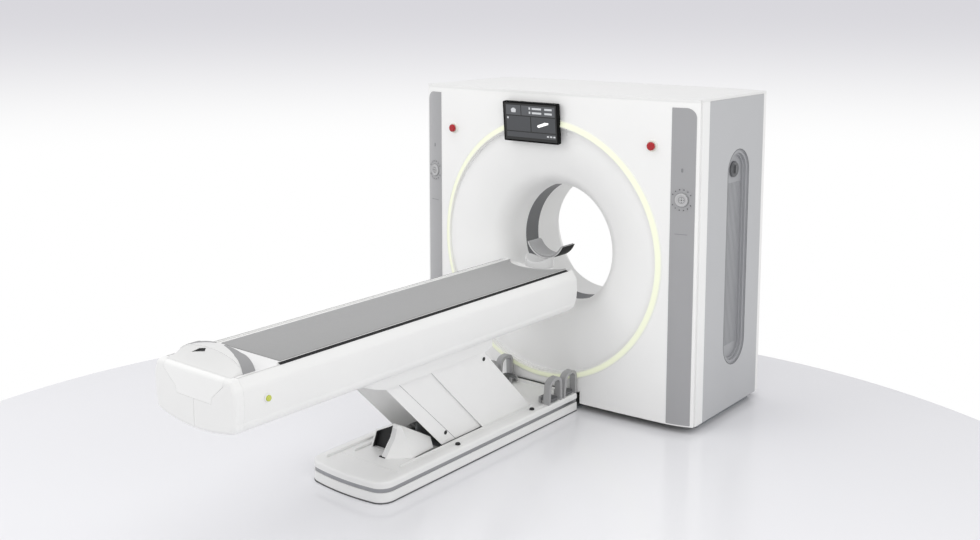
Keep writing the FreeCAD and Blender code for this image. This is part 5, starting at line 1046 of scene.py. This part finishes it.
def studio_world(light):
    """Backdrop: white low down, a faint grey towards the height of the eye; plain light for the rest."""
    world = bpy.data.worlds.new("studio")
    world.use_nodes = True
    sky = world.node_tree
    looking = add(sky, "ShaderNodeTexCoord").outputs["Generated"]
    height = add(sky, "ShaderNodeSeparateXYZ", {0: looking})
    rise = add(sky, "ShaderNodeMapRange", {"Value": height.outputs["Z"], "From Min": -0.125, "From Max": 0.0},
               interpolation_type="SMOOTHSTEP")
    paper = add(sky, "ShaderNodeMix",
                {0: rise.outputs["Result"], 6: linear("#FFFFFF"), 7: linear("#D9D8DD")}, data_type="RGBA")
    path = add(sky, "ShaderNodeLightPath").outputs
    seen = add(sky, "ShaderNodeMath", {0: path["Is Camera Ray"], 1: path["Is Glossy Ray"]},
               operation="MAXIMUM")
    seen_through = add(sky, "ShaderNodeMath", {0: seen.outputs[0], 1: path["Is Transmission Ray"]},
                       operation="MAXIMUM")
    lit = add(sky, "ShaderNodeMix",
              {0: seen_through.outputs[0], 6: (light, light, light, 1.0), 7: paper.outputs[2]},
              data_type="RGBA")
    sky.links.new(lit.outputs[2], sky.nodes["Background"].inputs["Color"])
    return world


bpy.context.scene.world = studio_world(light=0.82)


def softbox(name, at, aim, size, power):
    """A rectangular lamp that looks at a point and leaves no highlight of its own."""
    lamp = bpy.data.lights.new(name, "AREA")
    lamp.energy = power
    lamp.shape = "RECTANGLE"
    lamp.size, lamp.size_y = size
    holder = bpy.data.objects.new(name, lamp)
    holder.location = at
    holder.rotation_euler = (Vector(aim) - Vector(at)).to_track_quat("-Z", "Y").to_euler()
    holder.visible_glossy = False
    bpy.context.scene.collection.objects.link(holder)


softbox("front_softbox", at=(-2.6, -5.2, 4.2), aim=(0, -0.8, 0.8), size=(3.4, 2.6), power=56)
softbox("right_softbox", at=(5.2, -3.4, 2.6), aim=(0, -0.8, 0.8), size=(3.0, 2.6), power=52)
softbox("overhead_softbox", at=(0, -1.2, 5.2), aim=(0, -1.2, 0), size=(4.5, 4.5), power=40)

photo_width = 980
focal_pixels = 1127.36
look_down, look_left = 7.6489, 38.6368
camera_data = bpy.data.cameras.new("camera")
camera_data.sensor_width = 36
camera_data.lens = focal_pixels / photo_width * camera_data.sensor_width
camera_data.shift_y = -0.12
camera = bpy.data.objects.new("camera", camera_data)
camera.location = (3.8095, -5.6448, 2.3701)
camera.rotation_euler = (math.radians(90 - look_down), 0, math.radians(look_left))
bpy.context.scene.collection.objects.link(camera)
bpy.context.scene.camera = camera

bpy.context.scene.view_settings.view_transform = "Standard"
